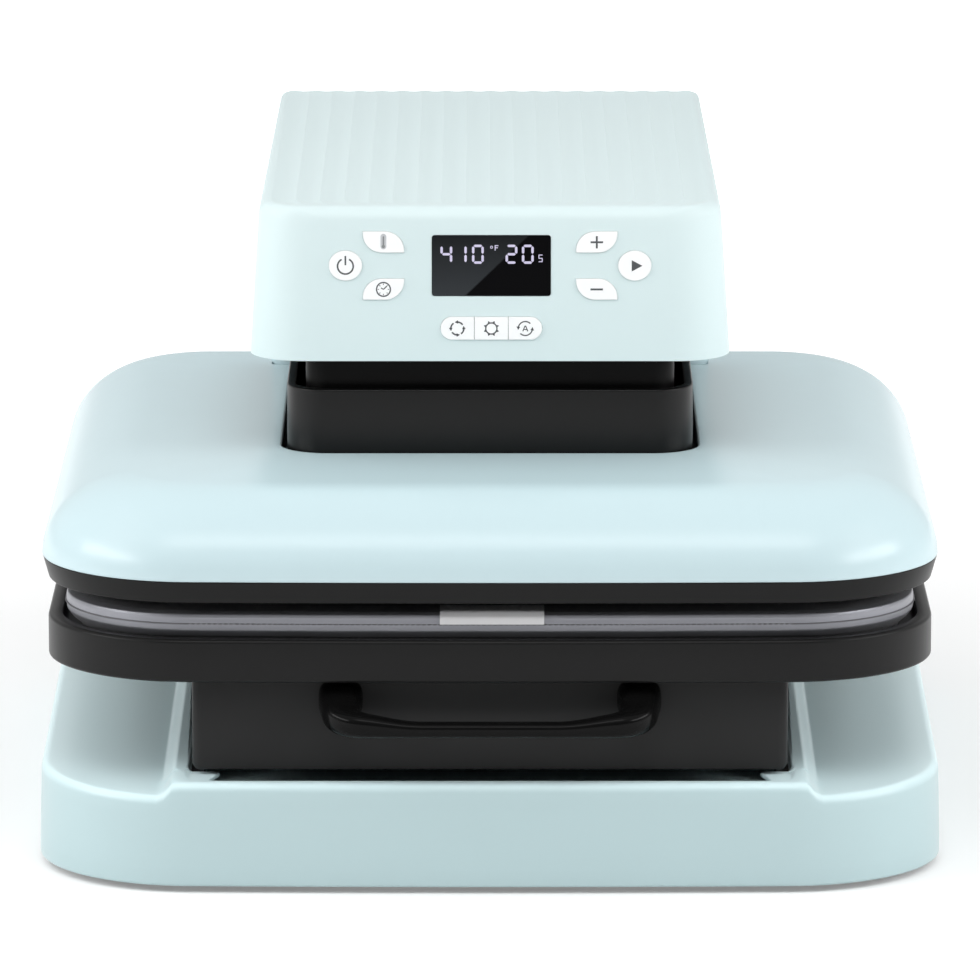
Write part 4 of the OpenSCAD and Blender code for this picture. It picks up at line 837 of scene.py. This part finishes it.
k = keySizes
upperAt, lowerAt = panel.middle + k.leafRise, panel.middle - k.leafRise
rowAt = panel.middle - k.rowDrop
keyPlaces = {
    "power": (ovalLoop, k.leftShift - k.ovalAt, panel.middle),
    "temperature": (partial(leafLoop, 1), k.leftShift - k.leafAt, upperAt),
    "timer": (partial(leafLoop, -1), k.leftShift - k.leafAt, lowerAt),
    "plus": (partial(leafLoop, -1), k.rightShift + k.leafAt, upperAt),
    "minus": (partial(leafLoop, 1), k.rightShift + k.leafAt, lowerAt),
    "start": (ovalLoop, k.rightShift + k.ovalAt, panel.middle),
    "repeat": (partial(rowLoop, -1), -k.rowKey, rowAt),
    "settings": (partial(rowLoop, 0), 0, rowAt),
    "auto": (partial(rowLoop, 1), k.rowKey, rowAt),
}
rowKeys = ("repeat", "settings", "auto")


def prism(loop, low, high):  # closed block between two heights of an outline
    return ringSkin(onHeights(np.stack([loop, loop]), [low, high]))


headPiece = newObject("headHousing", asMesh("headHousing", *buildHead()))
addModifier(headPiece, "wall", "SOLIDIFY", thickness=head.wall * millimetre, offset=-1, use_even_offset=True)
bakeModifiers(headPiece)
openings = [(loopOf(panel.gap), u, v) for name, (loopOf, u, v) in keyPlaces.items() if name not in rowKeys]
rowHalf = 1.5 * k.rowKey - k.split / 2 + panel.gap
rowTall = k.rowHeight / 2 + panel.gap
openings.append((plateLoop(2 * rowHalf, 2 * rowTall, rowTall * 0.999)[0], 0, rowAt))
openings.append((plateLoop(k.displayWidth + k.displayGap, k.displayHeight + k.displayGap, 1.3)[0], 0,
                 panel.middle))
for loop, u, v in openings:
    points, faces = prism(loop, -panel.cut, panel.cut)
    cutAway(headPiece, onPanel(points, u, v), faces)
settle(headPiece, "frame", "headAqua", ("head_shell",))
print("head made")

# keys: a flange behind the front, a body through it, a rounded edge and a slightly domed face
keyForm = Sizes(back=-4.4, flange=0.8, flangeTop=-3.2, edge=0.32, dome=0.1, rowRoom=7.45)


def buildKey(loopOf, room):
    f = keyForm
    flange = loopOf(f.flange)
    flange = np.stack([np.clip(flange[:, 0], -room, room), flange[:, 1]], -1)
    a = np.linspace(0, math.pi / 2, 6)
    body = loopOf(0)
    top = panel.proud - f.dome
    size = np.abs(body).max(0)
    shrink = 1 - f.edge * (1 - np.cos(a))[:, None, None] / size
    rings = [onHeights(np.stack([flange, flange, body]), [f.back, f.flangeTop, f.flangeTop]),
             onHeights(body[None] * shrink, top - f.edge * (1 - np.sin(a)))]
    q = np.linspace(0, 1, 9)[1:-1]
    face = body[None] * (shrink[-1] * (1 - q[:, None, None]))
    rings.append(onHeights(face, top + f.dome * (1 - (1 - q) ** 2)))
    return ringSkin(np.concatenate(rings))


for name, (loopOf, u, v) in keyPlaces.items():
    points, faces = buildKey(loopOf, keyForm.rowRoom if name in rowKeys else math.inf)
    addPiece(name + "Key", (onPanel(points, u, v), faces), name + "_button", "keyWhite",
             (name + "_key",), sharp=50)
print("keys made")

# display: dark glass with a slight edge and a painted reflection, and lit segments on its face
display = Sizes(back=-3, face=0.3, radius=1.1, edge=0.25, veilSlope=1.05, veilFrom=-0.2759, veilSharp=900,
                liftSlope=-26, liftFrom=7.55, liftLeast=0.25)


def paintedReflectionGlass():  # black glass with a painted reflection: its upper left is painted lighter, along a slanting line
    d = display
    tree, shader = newMaterial("displayGlass")
    calc = partial(mathNode, tree)
    place = tree.nodes.new("ShaderNodeTexCoord").outputs["Object"]
    sides = splitNode(tree, place)
    across, height = sides[0], sides[2]
    side = calc("SUBTRACT", calc("MULTIPLY_ADD", height, d.veilSlope, d.veilFrom), across)
    reflectionEdge = clampNode(tree, calc("MULTIPLY_ADD", side, d.veilSharp, 0.5))
    lift = clampNode(tree, calc("MULTIPLY_ADD", height, d.liftSlope, d.liftFrom), d.liftLeast)
    smear = noiseNode(tree, place, 70, 3)
    # painted reflection: the glass is lighter on one side of a slanting line, and less so higher up
    paintedReflection = calc("MULTIPLY", reflectionEdge, lift)
    tone = mixColour(tree, paintedReflection, rgba(0.0003, 0.0003, 0.0008), rgba(0.034, 0.038, 0.042))
    rough = calc("MULTIPLY_ADD", smear, 0.05, 0.04)
    feedInputs(tree, shader, {"Base Color": tone, "Roughness": rough, "Specular IOR Level": 0.05})


def litFinish():  # lilac white light of the segments, a little uneven
    tree, shader = newMaterial("segmentLight")
    glow = noiseNode(tree, tree.nodes.new("ShaderNodeTexCoord").outputs["Object"], 300)
    tone = mixColour(tree, glow, rgba(0.55, 0.51, 0.74), rgba(0.74, 0.7, 0.88))
    feedInputs(tree, shader, {"Emission Color": tone, "Emission Strength": 0.9,
                              "Base Color": rgba(0.05, 0.05, 0.06), "Roughness": 0.4})


def buildGlass():
    d = display
    loop = plateLoop(keySizes.displayWidth, keySizes.displayHeight, d.radius)
    a = np.linspace(0, math.pi / 2, 5)
    shrink = 1 - d.edge * (1 - np.cos(a))[:, None, None] / np.abs(loop[0]).max(0)
    face = loop * shrink[-1:] * faceShares
    points, faces = ringSkin(np.concatenate([
        onHeights(loop, [d.back]), onHeights(loop * shrink, d.face - d.edge * (1 - np.sin(a))),
        onHeights(face, [d.face] * 3)]))
    return onPanel(points, 0, panel.middle), faces


paintedReflectionGlass()
litFinish()
addPiece("displayGlass", buildGlass(), "frame", "displayGlass", ("display_window",),
         sharp=50)


def stripPrism(rails, low, high):  # closed strip between an outer and an inner rail, from low to high
    n = rails.shape[1]
    points = np.concatenate([onHeights(rails, [z, z]).reshape(-1, 3) for z in (low, high)])
    a, b, c, d = [np.arange(n) + n * row for row in range(4)]

    def between(first, second):
        return np.stack([first[:-1], first[1:], second[1:], second[:-1]], -1).tolist()
    faces = between(a, b) + between(d, c) + between(c, a) + between(b, d)
    ends = np.stack([a, b, d, c], -1)
    return points, faces + [ends[0].tolist(), ends[-1, ::-1].tolist()]


# Flat marks raised a hair from the face below them, as one shape: plain outlines, or strips between
# two rails
def markShape(outlines, low, high, u, v, place=onPanel):
    loops = [np.asarray(loop, float) for loop in outlines]
    points, faces = joined([(stripPrism if loop.ndim == 3 else prism)(loop, low, high) for loop in loops])
    return place(points, u, v), faces


def turned(loop, degrees, x, y):  # a flat outline turned about the origin, then moved
    t = math.radians(degrees)
    c, s = math.cos(t), math.sin(t)
    return loop @ np.array([[c, s], [-s, c]]) + np.array([x, y])


def bar(x, y, wide, tall, turn=0, radius=0.1):  # a stroke about a point, turned by degrees
    loop = plateLoop(wide, tall, min(radius, wide / 2.01, tall / 2.01), arcSteps=4, sideSteps=2)[0]
    return turned(loop, turn, x, y)


def segmentBar(x, y, length, thick, upright):  # one segment with pointed ends
    h = thick / 2
    loop = np.array([(-length / 2, 0), (-length / 2 + h, -h), (length / 2 - h, -h), (length / 2, 0),
                     (length / 2 - h, h), (-length / 2 + h, h)])
    if upright:
        loop = np.stack([-loop[:, 1], loop[:, 0]], -1)
    return loop + np.array([x, y])


segmentsOf = {"0": "abcdef", "1": "bc", "2": "abged", "4": "fgbc"}


def digitBars(mark, x, y, wide, tall, thick):  # seven-segment figure about its middle
    half = tall / 4
    spots = {"a": (0, tall / 2, 0), "g": (0, 0, 0), "d": (0, -tall / 2, 0), "f": (-wide / 2, half, 1),
             "b": (wide / 2, half, 1), "e": (-wide / 2, -half, 1), "c": (wide / 2, -half, 1)}
    out = []
    for letter in segmentsOf[mark]:
        dx, dy, upright = spots[letter]
        length = (tall / 2 if upright else wide) - thick * 0.35
        out.append(segmentBar(x + dx, y + dy, length, thick, upright))
    return out


# places of the figures on the glass, in millimetres from its middle
figures = Sizes(wide=4.2, tall=7.5, thick=1.1, rise=5.15,
                row=(("4", -20.1), ("1", -13.6), ("0", -6.0), ("2", 9.0), ("0", 16.3)),
                ring=(0.1, 8.3, 0.5), unit=(2.4, 8.0), seconds=(22.0, 3.3), stroke=0.4, low=0.28, high=0.33)
lit = []
for mark, x in figures.row:
    lit += digitBars(mark, x, figures.rise, figures.wide, figures.tall, figures.thick)


def ringMark(x, y, radius, thick, start=0, sweep=360, steps=36):  # arc of a ring as a strip
    t = np.radians(start + np.linspace(0, sweep, steps + 1))
    rails = (radius + thick / 2, radius - thick / 2)
    return np.stack([np.stack([x + r * np.cos(t), y + r * np.sin(t)], -1) for r in rails])


thin = figures.stroke
lit.append(ringMark(*figures.ring, 0.3, 0, 350))
x, y = figures.unit
lit += [bar(x - 0.7, y, thin, 2.4), bar(x, y + 1.0, 1.5, thin), bar(x - 0.1, y + 0.05, 1.2, thin)]
x, y = figures.seconds
lit += [bar(x, y + rise, 1.7, thin) for rise in (1.5, 0, -1.5)]
lit += [bar(x + side * 0.75, y - side * 0.75, thin, 1.5) for side in (-1, 1)]
addPiece("displayFigures", markShape(lit, figures.low, figures.high, 0, panel.middle), "frame",
         "segmentLight")


# pictograms of the keys, as printed ink on their faces
def arrowHead(x, y, size, turn):  # small triangle that points along its turn
    shape = np.array([(size, 0), (-size * 0.6, size * 0.85), (-size * 0.6, -size * 0.85)])
    return turned(shape, turn, x, y)


def cycleRing(radius, thick, parts, gap, headSize):  # arcs of a ring, each ending in an arrow
    out = []
    for n in range(parts):
        start = 360 / parts * n + gap / 2 + 20
        sweep = 360 / parts - gap
        out.append(ringMark(0, 0, radius, thick, start, sweep, 14))
        t = math.radians(start + sweep)
        out.append(arrowHead(radius * math.cos(t), radius * math.sin(t), headSize, start + sweep + 90))
    return out


def gearMark(radius, tooth, thick):  # ring with eight small points
    t = np.linspace(0, 2 * math.pi, 129)
    r = radius + thick / 2 + tooth * np.maximum(0, 1 - np.abs((t * 8 / (2 * math.pi)) % 1 - 0.5) * 4)
    outer = np.stack([r * np.cos(t), r * np.sin(t)], -1)
    inner = (radius - thick / 2) * np.stack([np.cos(t), np.sin(t)], -1)
    return [np.stack([outer, inner])]


ticks = [bar(2.3 * math.cos(q), 2.3 * math.sin(q), 0.6, 0.35, math.degrees(q))
         for q in np.radians(range(0, 360, 45))]
letterA = [bar(-0.6, 0, 0.5, 2.7, -22), bar(0.6, 0, 0.5, 2.7, 22), bar(0, -0.45, 1.1, 0.45)]
pictograms = {
    "power": [ringMark(0, -0.2, 3.5, 0.75, 118, 304, 44), bar(0, 2.35, 0.75, 4.2)],
    "timer": [ringMark(0, 0, 3.1, 0.6, 0, 359.5, 48), bar(0.75, 0.75, 2.1, 0.5, 45),
              bar(-0.55, 0.35, 1.3, 0.5, -30)] + ticks,
    "plus": [bar(0, 0, 5.6, 0.85), bar(0, 1.6, 0.85, 2.35), bar(0, -1.6, 0.85, 2.35)],
    "minus": [bar(0, 0, 5.6, 0.85)],
    "start": [arrowHead(0.4, 0, 3.0, 0)],
    "repeat": cycleRing(2.9, 0.7, 4, 30, 0.95),
    "settings": gearMark(2.5, 0.85, 0.6),
    "auto": cycleRing(3.15, 0.55, 2, 50, 0.95) + letterA,
}
ink = Sizes(sunk=0.16, stemLift=0.02)


def addMark(piece, key, outlines, look, lift=0):  # printed on a key's domed face
    low, high = panel.proud - ink.sunk, panel.proud + lift
    addPiece(piece, markShape(outlines, low, high, *keyPlaces[key][1:]), key + "_button", look)


for name, outlines in pictograms.items():
    addMark(name + "Mark", name, outlines, "keyInk")
addMark("temperatureMark", "temperature", [bar(0, 0.3, 2.6, 7.0, 0, 1.29)], "paleInk")
stem = [bar(0, 0.5, 0.7, 4.4, 0, 0.3), bar(0, -1.9, 1.5, 1.5, 0, 0.74)]
addMark("temperatureStem", "temperature", stem, "greyInk", ink.stemLift)

# marks on the two faces of the rocker, which meet in a shallow valley and lie tilted at rest
rocker = Sizes(x=45, depth=450, height=95, half=7.3, out=7.6, dip=1.1, tilt=8, sunk=-0.1, proud=0.04)


def onRocker(points, u=0, v=0):  # v tells the upper face, 1, from the lower, -1
    r = rocker
    p = np.asarray(points, float)
    along = np.array([v * r.dip, r.half]) / math.hypot(r.dip, r.half)
    outward = np.array([along[1], -along[0]])
    middle = np.array([r.out - r.dip / 2, v * r.half / 2])
    side = middle + p[..., 1:2] * along + p[..., 2:3] * outward
    c, s = math.cos(math.radians(r.tilt)), math.sin(math.radians(r.tilt))
    depth = r.depth - plan.originDepth + side[..., 0] * c + side[..., 1] * s
    return np.stack([r.x - u - p[..., 0], depth, r.height - side[..., 0] * s + side[..., 1] * c], -1)


for name, outline, face in (("rockerOn", bar(0, 0, 0.8, 3.6), 1),
                            ("rockerOff", ringMark(0, 0, 1.5, 0.7, 0, 359.5), -1)):
    addPiece(name, markShape([outline], rocker.sunk, rocker.proud, 0, face, onRocker), "rocker",
             "keyWhite")
print("marks made")

# press pad: foam in silver cloth, drawn in at a sewn seam, swollen by a cloth simulation
pad = Sizes(low=104.5, top=124.4, seam=119.3, seamIn=1.0, voxel=5, pressure=4, frames=20, most=0.6, ease=3,
            seamReach=0.7, heldRise=8, mass=0.3, quality=6, nearest=4, gather=0.12, gatherReach=2.4)


def padProfile():  # side of the pad from its underside to its crown, as (margin, height)
    p = pad
    return filletPath([(-60, p.low), (-9.5, p.low), (-7, 110.5), (-3, 113.4), (-0.85, 116.2),
                       (-p.seamIn, p.seam), (-0.75, 122), (-1.1, p.top - 0.8), (-4.5, p.top - 0.1),
                       (-62, p.top - 0.05), (-120, p.top)],
                      [0, 3, 3, 1.8, 2.2, 0.3, 2.5, 0.9, 4, 80, 0], steps=7)


def buildPad():
    profile = padProfile()
    rings = onHeights(padLoop(profile[:, 0], arcSteps=20, sideSteps=26), profile[:, 1])
    # small gathers along the seam: the height ripples round the pad, less and less away from the seam
    around = np.arange(rings.shape[1])[None]
    near = np.exp(-((rings[..., 2] - pad.seam) / pad.gatherReach) ** 2)
    waves = np.sin(around * 1.9) + 0.6 * np.sin(around * 0.73 + 1) + 0.5 * np.sin(around * 3.1 + 2)
    rings[..., 2] += near * (waves * pad.gather)
    return rings


# The pad's cloth under pressure: an even copy of its skin is blown up for a few frames with its underside
# held, and every point of the pad moves with the four nearest points of that copy. A move of d becomes
# most * d / (d + ease), so it stays below the cap, and the seam is held where its stitches are.
def swellPad(piece):
    p = pad
    trial = newObject("padTrial", piece.data.copy())
    addModifier(trial, "evenly", "REMESH", mode="VOXEL", voxel_size=p.voxel * millimetre)
    bakeModifiers(trial, 80)
    before = placesOf(trial.data)
    held = trial.vertex_groups.new(name="held")
    held.add(np.flatnonzero(before[:, 2] < (p.low + p.heldRise) * millimetre).tolist(), 1.0, "REPLACE")
    blow = addModifier(trial, "blow", "CLOTH")
    blow.settings.quality = p.quality
    blow.settings.mass = p.mass
    blow.settings.use_pressure = True
    blow.settings.uniform_pressure_force = p.pressure
    blow.settings.vertex_group_mass = "held"
    blow.settings.effector_weights.gravity = 0
    blow.collision_settings.use_collision = False
    blow.point_cache.frame_start = 1
    blow.point_cache.frame_end = p.frames
    for step in range(1, p.frames + 1):
        scene.frame_set(step)
    graph = bpy.context.evaluated_depsgraph_get()
    moved = placesOf(trial.evaluated_get(graph).data) - before
    far = np.linalg.norm(moved, axis=1, keepdims=True)
    moved = moved * p.most / (far * perMetre + p.ease)
    bpy.data.objects.remove(trial)
    scene.frame_set(1)
    own = placesOf(piece.data)
    shifts = []
    for part in np.array_split(own, max(1, len(own) // 400)):
        apart = ((part[:, None] - before[None]) ** 2).sum(-1)
        near = np.argpartition(apart, p.nearest, axis=1)[:, :p.nearest]
        weight = 1 / (np.take_along_axis(apart, near, 1) + 1e-8)
        weight = weight / weight.sum(1, keepdims=True)
        shifts.append((moved[near] * weight[..., None]).sum(1))
    seamHold = 1 - np.exp(-((own[:, 2:] * perMetre - p.seam) / p.seamReach) ** 2)
    own = own + np.concatenate(shifts) * seamHold
    piece.data.vertices.foreach_set("co", own.ravel())
    piece.data.update()
    print("pad swollen by", round(float(far.mean() * perMetre), 2), "mm on average before the cap")


padPiece = newObject("pressPad", asMesh("pressPad", *ringSkin(buildPad()), sharp=80))
swellPad(padPiece)
addModifier(padPiece, "smoother", "SUBSURF", levels=1, render_levels=1)
settle(padPiece, "drawer", "padCloth", ("press_pad",))


# stitches: short dashes of thread that lie in the seam, all round the pad
stitch = Sizes(long=2.2, thin=0.12, swell=0.2, arch=0.25, sunk=0.1, sides=6, rings=5)


def buildStitches():
    count, sides = stitch.rings, stitch.sides
    line = onHeights(padLoop([0.05 - pad.seamIn], arcSteps=90, sideSteps=110), [pad.seam])[0]
    ahead = unitRows(np.roll(line, -1, 0) - line)
    up = np.array([0, 0, 1.0])
    out = np.cross(ahead, up)
    t = circle(sides)
    rings = []
    for f in np.linspace(0, 1, count):
        swell = stitch.thin + stitch.swell * math.sin(math.pi * f)
        lift = stitch.arch * math.sin(math.pi * f) - stitch.sunk
        centre = line + ahead * (f - 0.5) * stitch.long + out * lift
        rings.append(centre[:, None] + swell * (out[:, None] * np.cos(t)[None, :, None]
                                                + up * np.sin(t)[None, :, None]))
    c = np.arange(sides)
    r = np.arange(count - 1)[:, None] * sides
    quads = quadRows(r, r + sides, c, (c + 1) % sides)[:, ::-1]
    dash = np.arange(len(line))[:, None] * sides * count
    faces = (dash[..., None] + quads[None]).reshape(-1, 4).tolist()
    ends = dash + c[None]
    faces += ends.tolist() + (ends[:, ::-1] + sides * (count - 1)).tolist()
    return np.stack(rings, 1).reshape(-1, 3), faces


addPiece("padStitches", buildStitches(), "drawer", "seamThread", sharp=70)

# tag folded over the pad's front edge
tag = Sizes(width=46, thick=0.45, low=119.7, top=125.3, back=25, front=11.2, shift=0.9, fold=122.6,
            foldReach=2.3)
tagPath = filletPath([(tag.front, tag.low), (tag.front, tag.fold),
                      (tag.front + tag.foldReach, tag.top - 0.1), (tag.back, tag.top)],
                     [0, 2, 2, 0], steps=6)


def buildTag():
    ahead = unitRows(np.gradient(tagPath, axis=0))
    out = np.stack([-ahead[:, 1], ahead[:, 0]], -1) * tag.thick / 2
    loop = np.concatenate([tagPath - out, (tagPath + out)[::-1]])
    share = np.concatenate([[-1, -0.985], np.linspace(-0.97, 0.97, 22), [0.985, 1]])
    x = share * tag.width / 2 + tag.shift
    sides = np.broadcast_arrays(x[:, None], loop[None, :, 0] - plan.originDepth, loop[None, :, 1])
    return ringSkin(np.stack(sides, -1))


addPiece("padTag", buildTag(), "drawer", "tagFilm", ("pad_tag",), sharp=40)
print("pad made")

# pieces whose CAD shape is right, with their edges rounded
for node, name, width, look, slot in (
        ("column_shell", "columnHousing", 1.2, "coverAqua", "aqua_shell"),
        ("rear_panel", "rearPanel", 0.6, "baseAqua", "aqua_shell"),
        ("head_floor", "headFloor", 0.5, "blackShell", "black_shell"),
        ("power_inlet", "powerInlet", 0.7, "socketBlack", "black_shell"),
        ("rocker_housing", "rockerHousing", 0.7, "socketBlack", "black_shell"),
        ("power_rocker", "powerRocker", 0.5, "rockerBlack", "black_shell"),
        ("drawer_carriage", "drawerCarriage", 0.5, "carriageBlack", "black_metal"),
        ("rubber_feet", "rubberFeet", 0.8, "footRubber", "foot_rubber"),
        ("heat_plate", "heatPlate", 0.6, "plateCoat", "alloy"),
        ("rail_brackets", "railBrackets", 0.3, "railSteel", "steel"),
        ("outer_rails", "outerRails", 0.3, "railSteel", "steel"),
        ("middle_rails", "middleRails", 0.3, "railSteel", "steel"),
        ("inner_rails", "innerRails", 0.3, "railSteel", "steel")):
    softenedCopy(node, name, width, look)
print("CAD pieces softened")

# screws of the rear panel, with domed heads and cross recesses
panelScrew = Sizes(x=93.8, heights=(58, 215.7), depth=456, head=3, rise=2, edge=0.7, shank=1.5, length=3,
                   slot=0.5, arm=1.75, recess=1.1, slotEase=0.15, armEase=0.2)


# Rings from the shank's end to the middle of the head: the head is a flat ellipsoid, and where a place lies
# within either bar of the cross it is lower by the recess.
def buildScrew():
    p = panelScrew
    r = np.array([p.shank, p.shank, p.head, p.head])
    r = np.concatenate([r, p.head * np.linspace(0.98, 0.03, 26)])
    t = circle(72)
    x, y = r[:, None] * np.cos(t), r[:, None] * np.sin(t)
    dome = p.edge + (p.rise - p.edge) * np.sqrt(1 - (r / p.head) ** 2)

    def within(across, along):
        narrow = softStep((p.slot - np.abs(across)) / p.slotEase)
        return narrow * softStep((p.arm - np.abs(along)) / p.armEase)
    z = dome[:, None] - p.recess * np.maximum(within(x, y), within(y, x))
    z[:4] = np.array([-p.length, 0, 0, p.edge])[:, None]
    return ringSkin(np.stack([x, y, z], -1))


screwPoints, screwFaces = buildScrew()
x, y, z = screwPoints.T
back = panelScrew.depth - plan.originDepth + z
screws = [(np.stack([side * panelScrew.x - x, back, height + y], -1), screwFaces)
          for side in (-1, 1) for height in panelScrew.heights]
addPiece("panelScrews", joined(screws), "frame", "steel", ("panel_screws",))
print("screws made")

# floor and light
studio = Sizes(floor=12, world=0.64, ahead=0.08, tone=0.86, nearGlow=0.14, farGlow=0.85)
floorPoints = plateLoop(studio.floor * perMetre, studio.floor * perMetre, 500)[0]
floorMesh = bpy.data.meshes.new("floor")
floorPlan = [(x * millimetre, y * millimetre, 0) for x, y in floorPoints]
floorMesh.from_pydata(floorPlan, [], [list(range(len(floorPlan)))])
floor = newObject("floor", floorMesh)


def whenSeen(tree, path):  # 1 for rays from the camera, mirrored ones and ones through glass
    seen = mathNode(tree, "MAXIMUM", path.outputs["Is Camera Ray"], path.outputs["Is Glossy Ray"])
    return mathNode(tree, "MAXIMUM", seen, path.outputs["Is Transmission Ray"])


def floorFinish():  # pale floor that keeps its shadows and looks white to the camera away from them
    tree, shader = newMaterial("paleFloor")
    path = tree.nodes.new("ShaderNodeLightPath")
    seen = whenSeen(tree, path)
    place = tree.nodes.new("ShaderNodeTexCoord")
    far = tree.nodes.new("ShaderNodeVectorMath")
    far.operation = "LENGTH"
    tree.links.new(place.outputs["Object"], far.inputs[0])
    share = clampNode(tree, mathNode(tree, "MULTIPLY_ADD", far.outputs["Value"], 0.7, -0.3))
    tone = mixColour(tree, share, rgba(*grey(studio.nearGlow)), rgba(*grey(studio.farGlow)))
    feedInputs(tree, shader, {"Base Color": rgba(*grey(studio.tone)), "Roughness": 0.9,
                              "Specular IOR Level": 0.1, "Emission Strength": seen, "Emission Color": tone})


floorFinish()
floorMesh.materials.append(finishes["paleFloor"])

world = bpy.data.worlds.new("studio")
scene.world = world
world.use_nodes = True
sky = world.node_tree
skyShade = sky.nodes["Background"]
skyShade.inputs["Color"].default_value = rgba(1, 1, 1)
# the room is darker low down in front, where nothing stands but the camera
skyWay = splitNode(sky, sky.nodes.new("ShaderNodeTexCoord").outputs["Generated"])
ahead = clampNode(sky, mathNode(sky, "MULTIPLY_ADD", skyWay[1], -1.7, -0.2))
lowDown = clampNode(sky, mathNode(sky, "MULTIPLY_ADD", skyWay[2], -1.3, 1.1))
skyLevel = mathNode(sky, "MULTIPLY_ADD", mathNode(sky, "MULTIPLY", ahead, lowDown),
                    studio.ahead - studio.world, studio.world)
# seen straight by the camera the room is plain white, like the floor
rayKind = sky.nodes.new("ShaderNodeLightPath")
skyLevel = mathNode(sky, "MAXIMUM", skyLevel, rayKind.outputs["Is Camera Ray"])
sky.links.new(skyLevel, skyShade.inputs["Strength"])


def softbox(name, place, aim, size, power, mirrored=True):  # area lamp that looks at a point
    data = bpy.data.lights.new(name, "AREA")
    data.shape = "RECTANGLE"
    data.size, data.size_y = size
    data.energy = power
    lamp = bpy.data.objects.new(name, data)
    lamp.location = place
    lamp.visible_glossy = mirrored
    away = np.array(aim) - np.array(place)
    flat = math.hypot(away[0], away[1])
    lamp.rotation_euler = (math.pi / 2 + math.atan2(away[2], flat), 0, math.atan2(-away[0], away[1]))
    scene.collection.objects.link(lamp)


softbox("leftBox", (-1.4, -0.62, 0.62), (0, 0, 0.1), (1.2, 0.3), 6.3)
softbox("rightBox", (1.4, -0.62, 0.62), (0, 0, 0.1), (1.2, 0.3), 6.2)
softbox("highLeftBox", (-1.1, -0.5, 1.02), (0, 0, 0.1), (0.8, 0.5), 4.9, mirrored=False)
softbox("highRightBox", (1.1, -0.5, 1.02), (0, 0, 0.1), (0.8, 0.5), 4.9, mirrored=False)
softbox("frontBox", (0, -1.6, 2.1), (0, 0, 0.15), (1.8, 0.8), 12.6)
softbox("topLeftBox", (-1.1, 0.1, 1.7), (0, 0, 0.25), (0.7, 0.7), 3.0, mirrored=False)
print("stage set")

scene.view_settings.view_transform = "Standard"
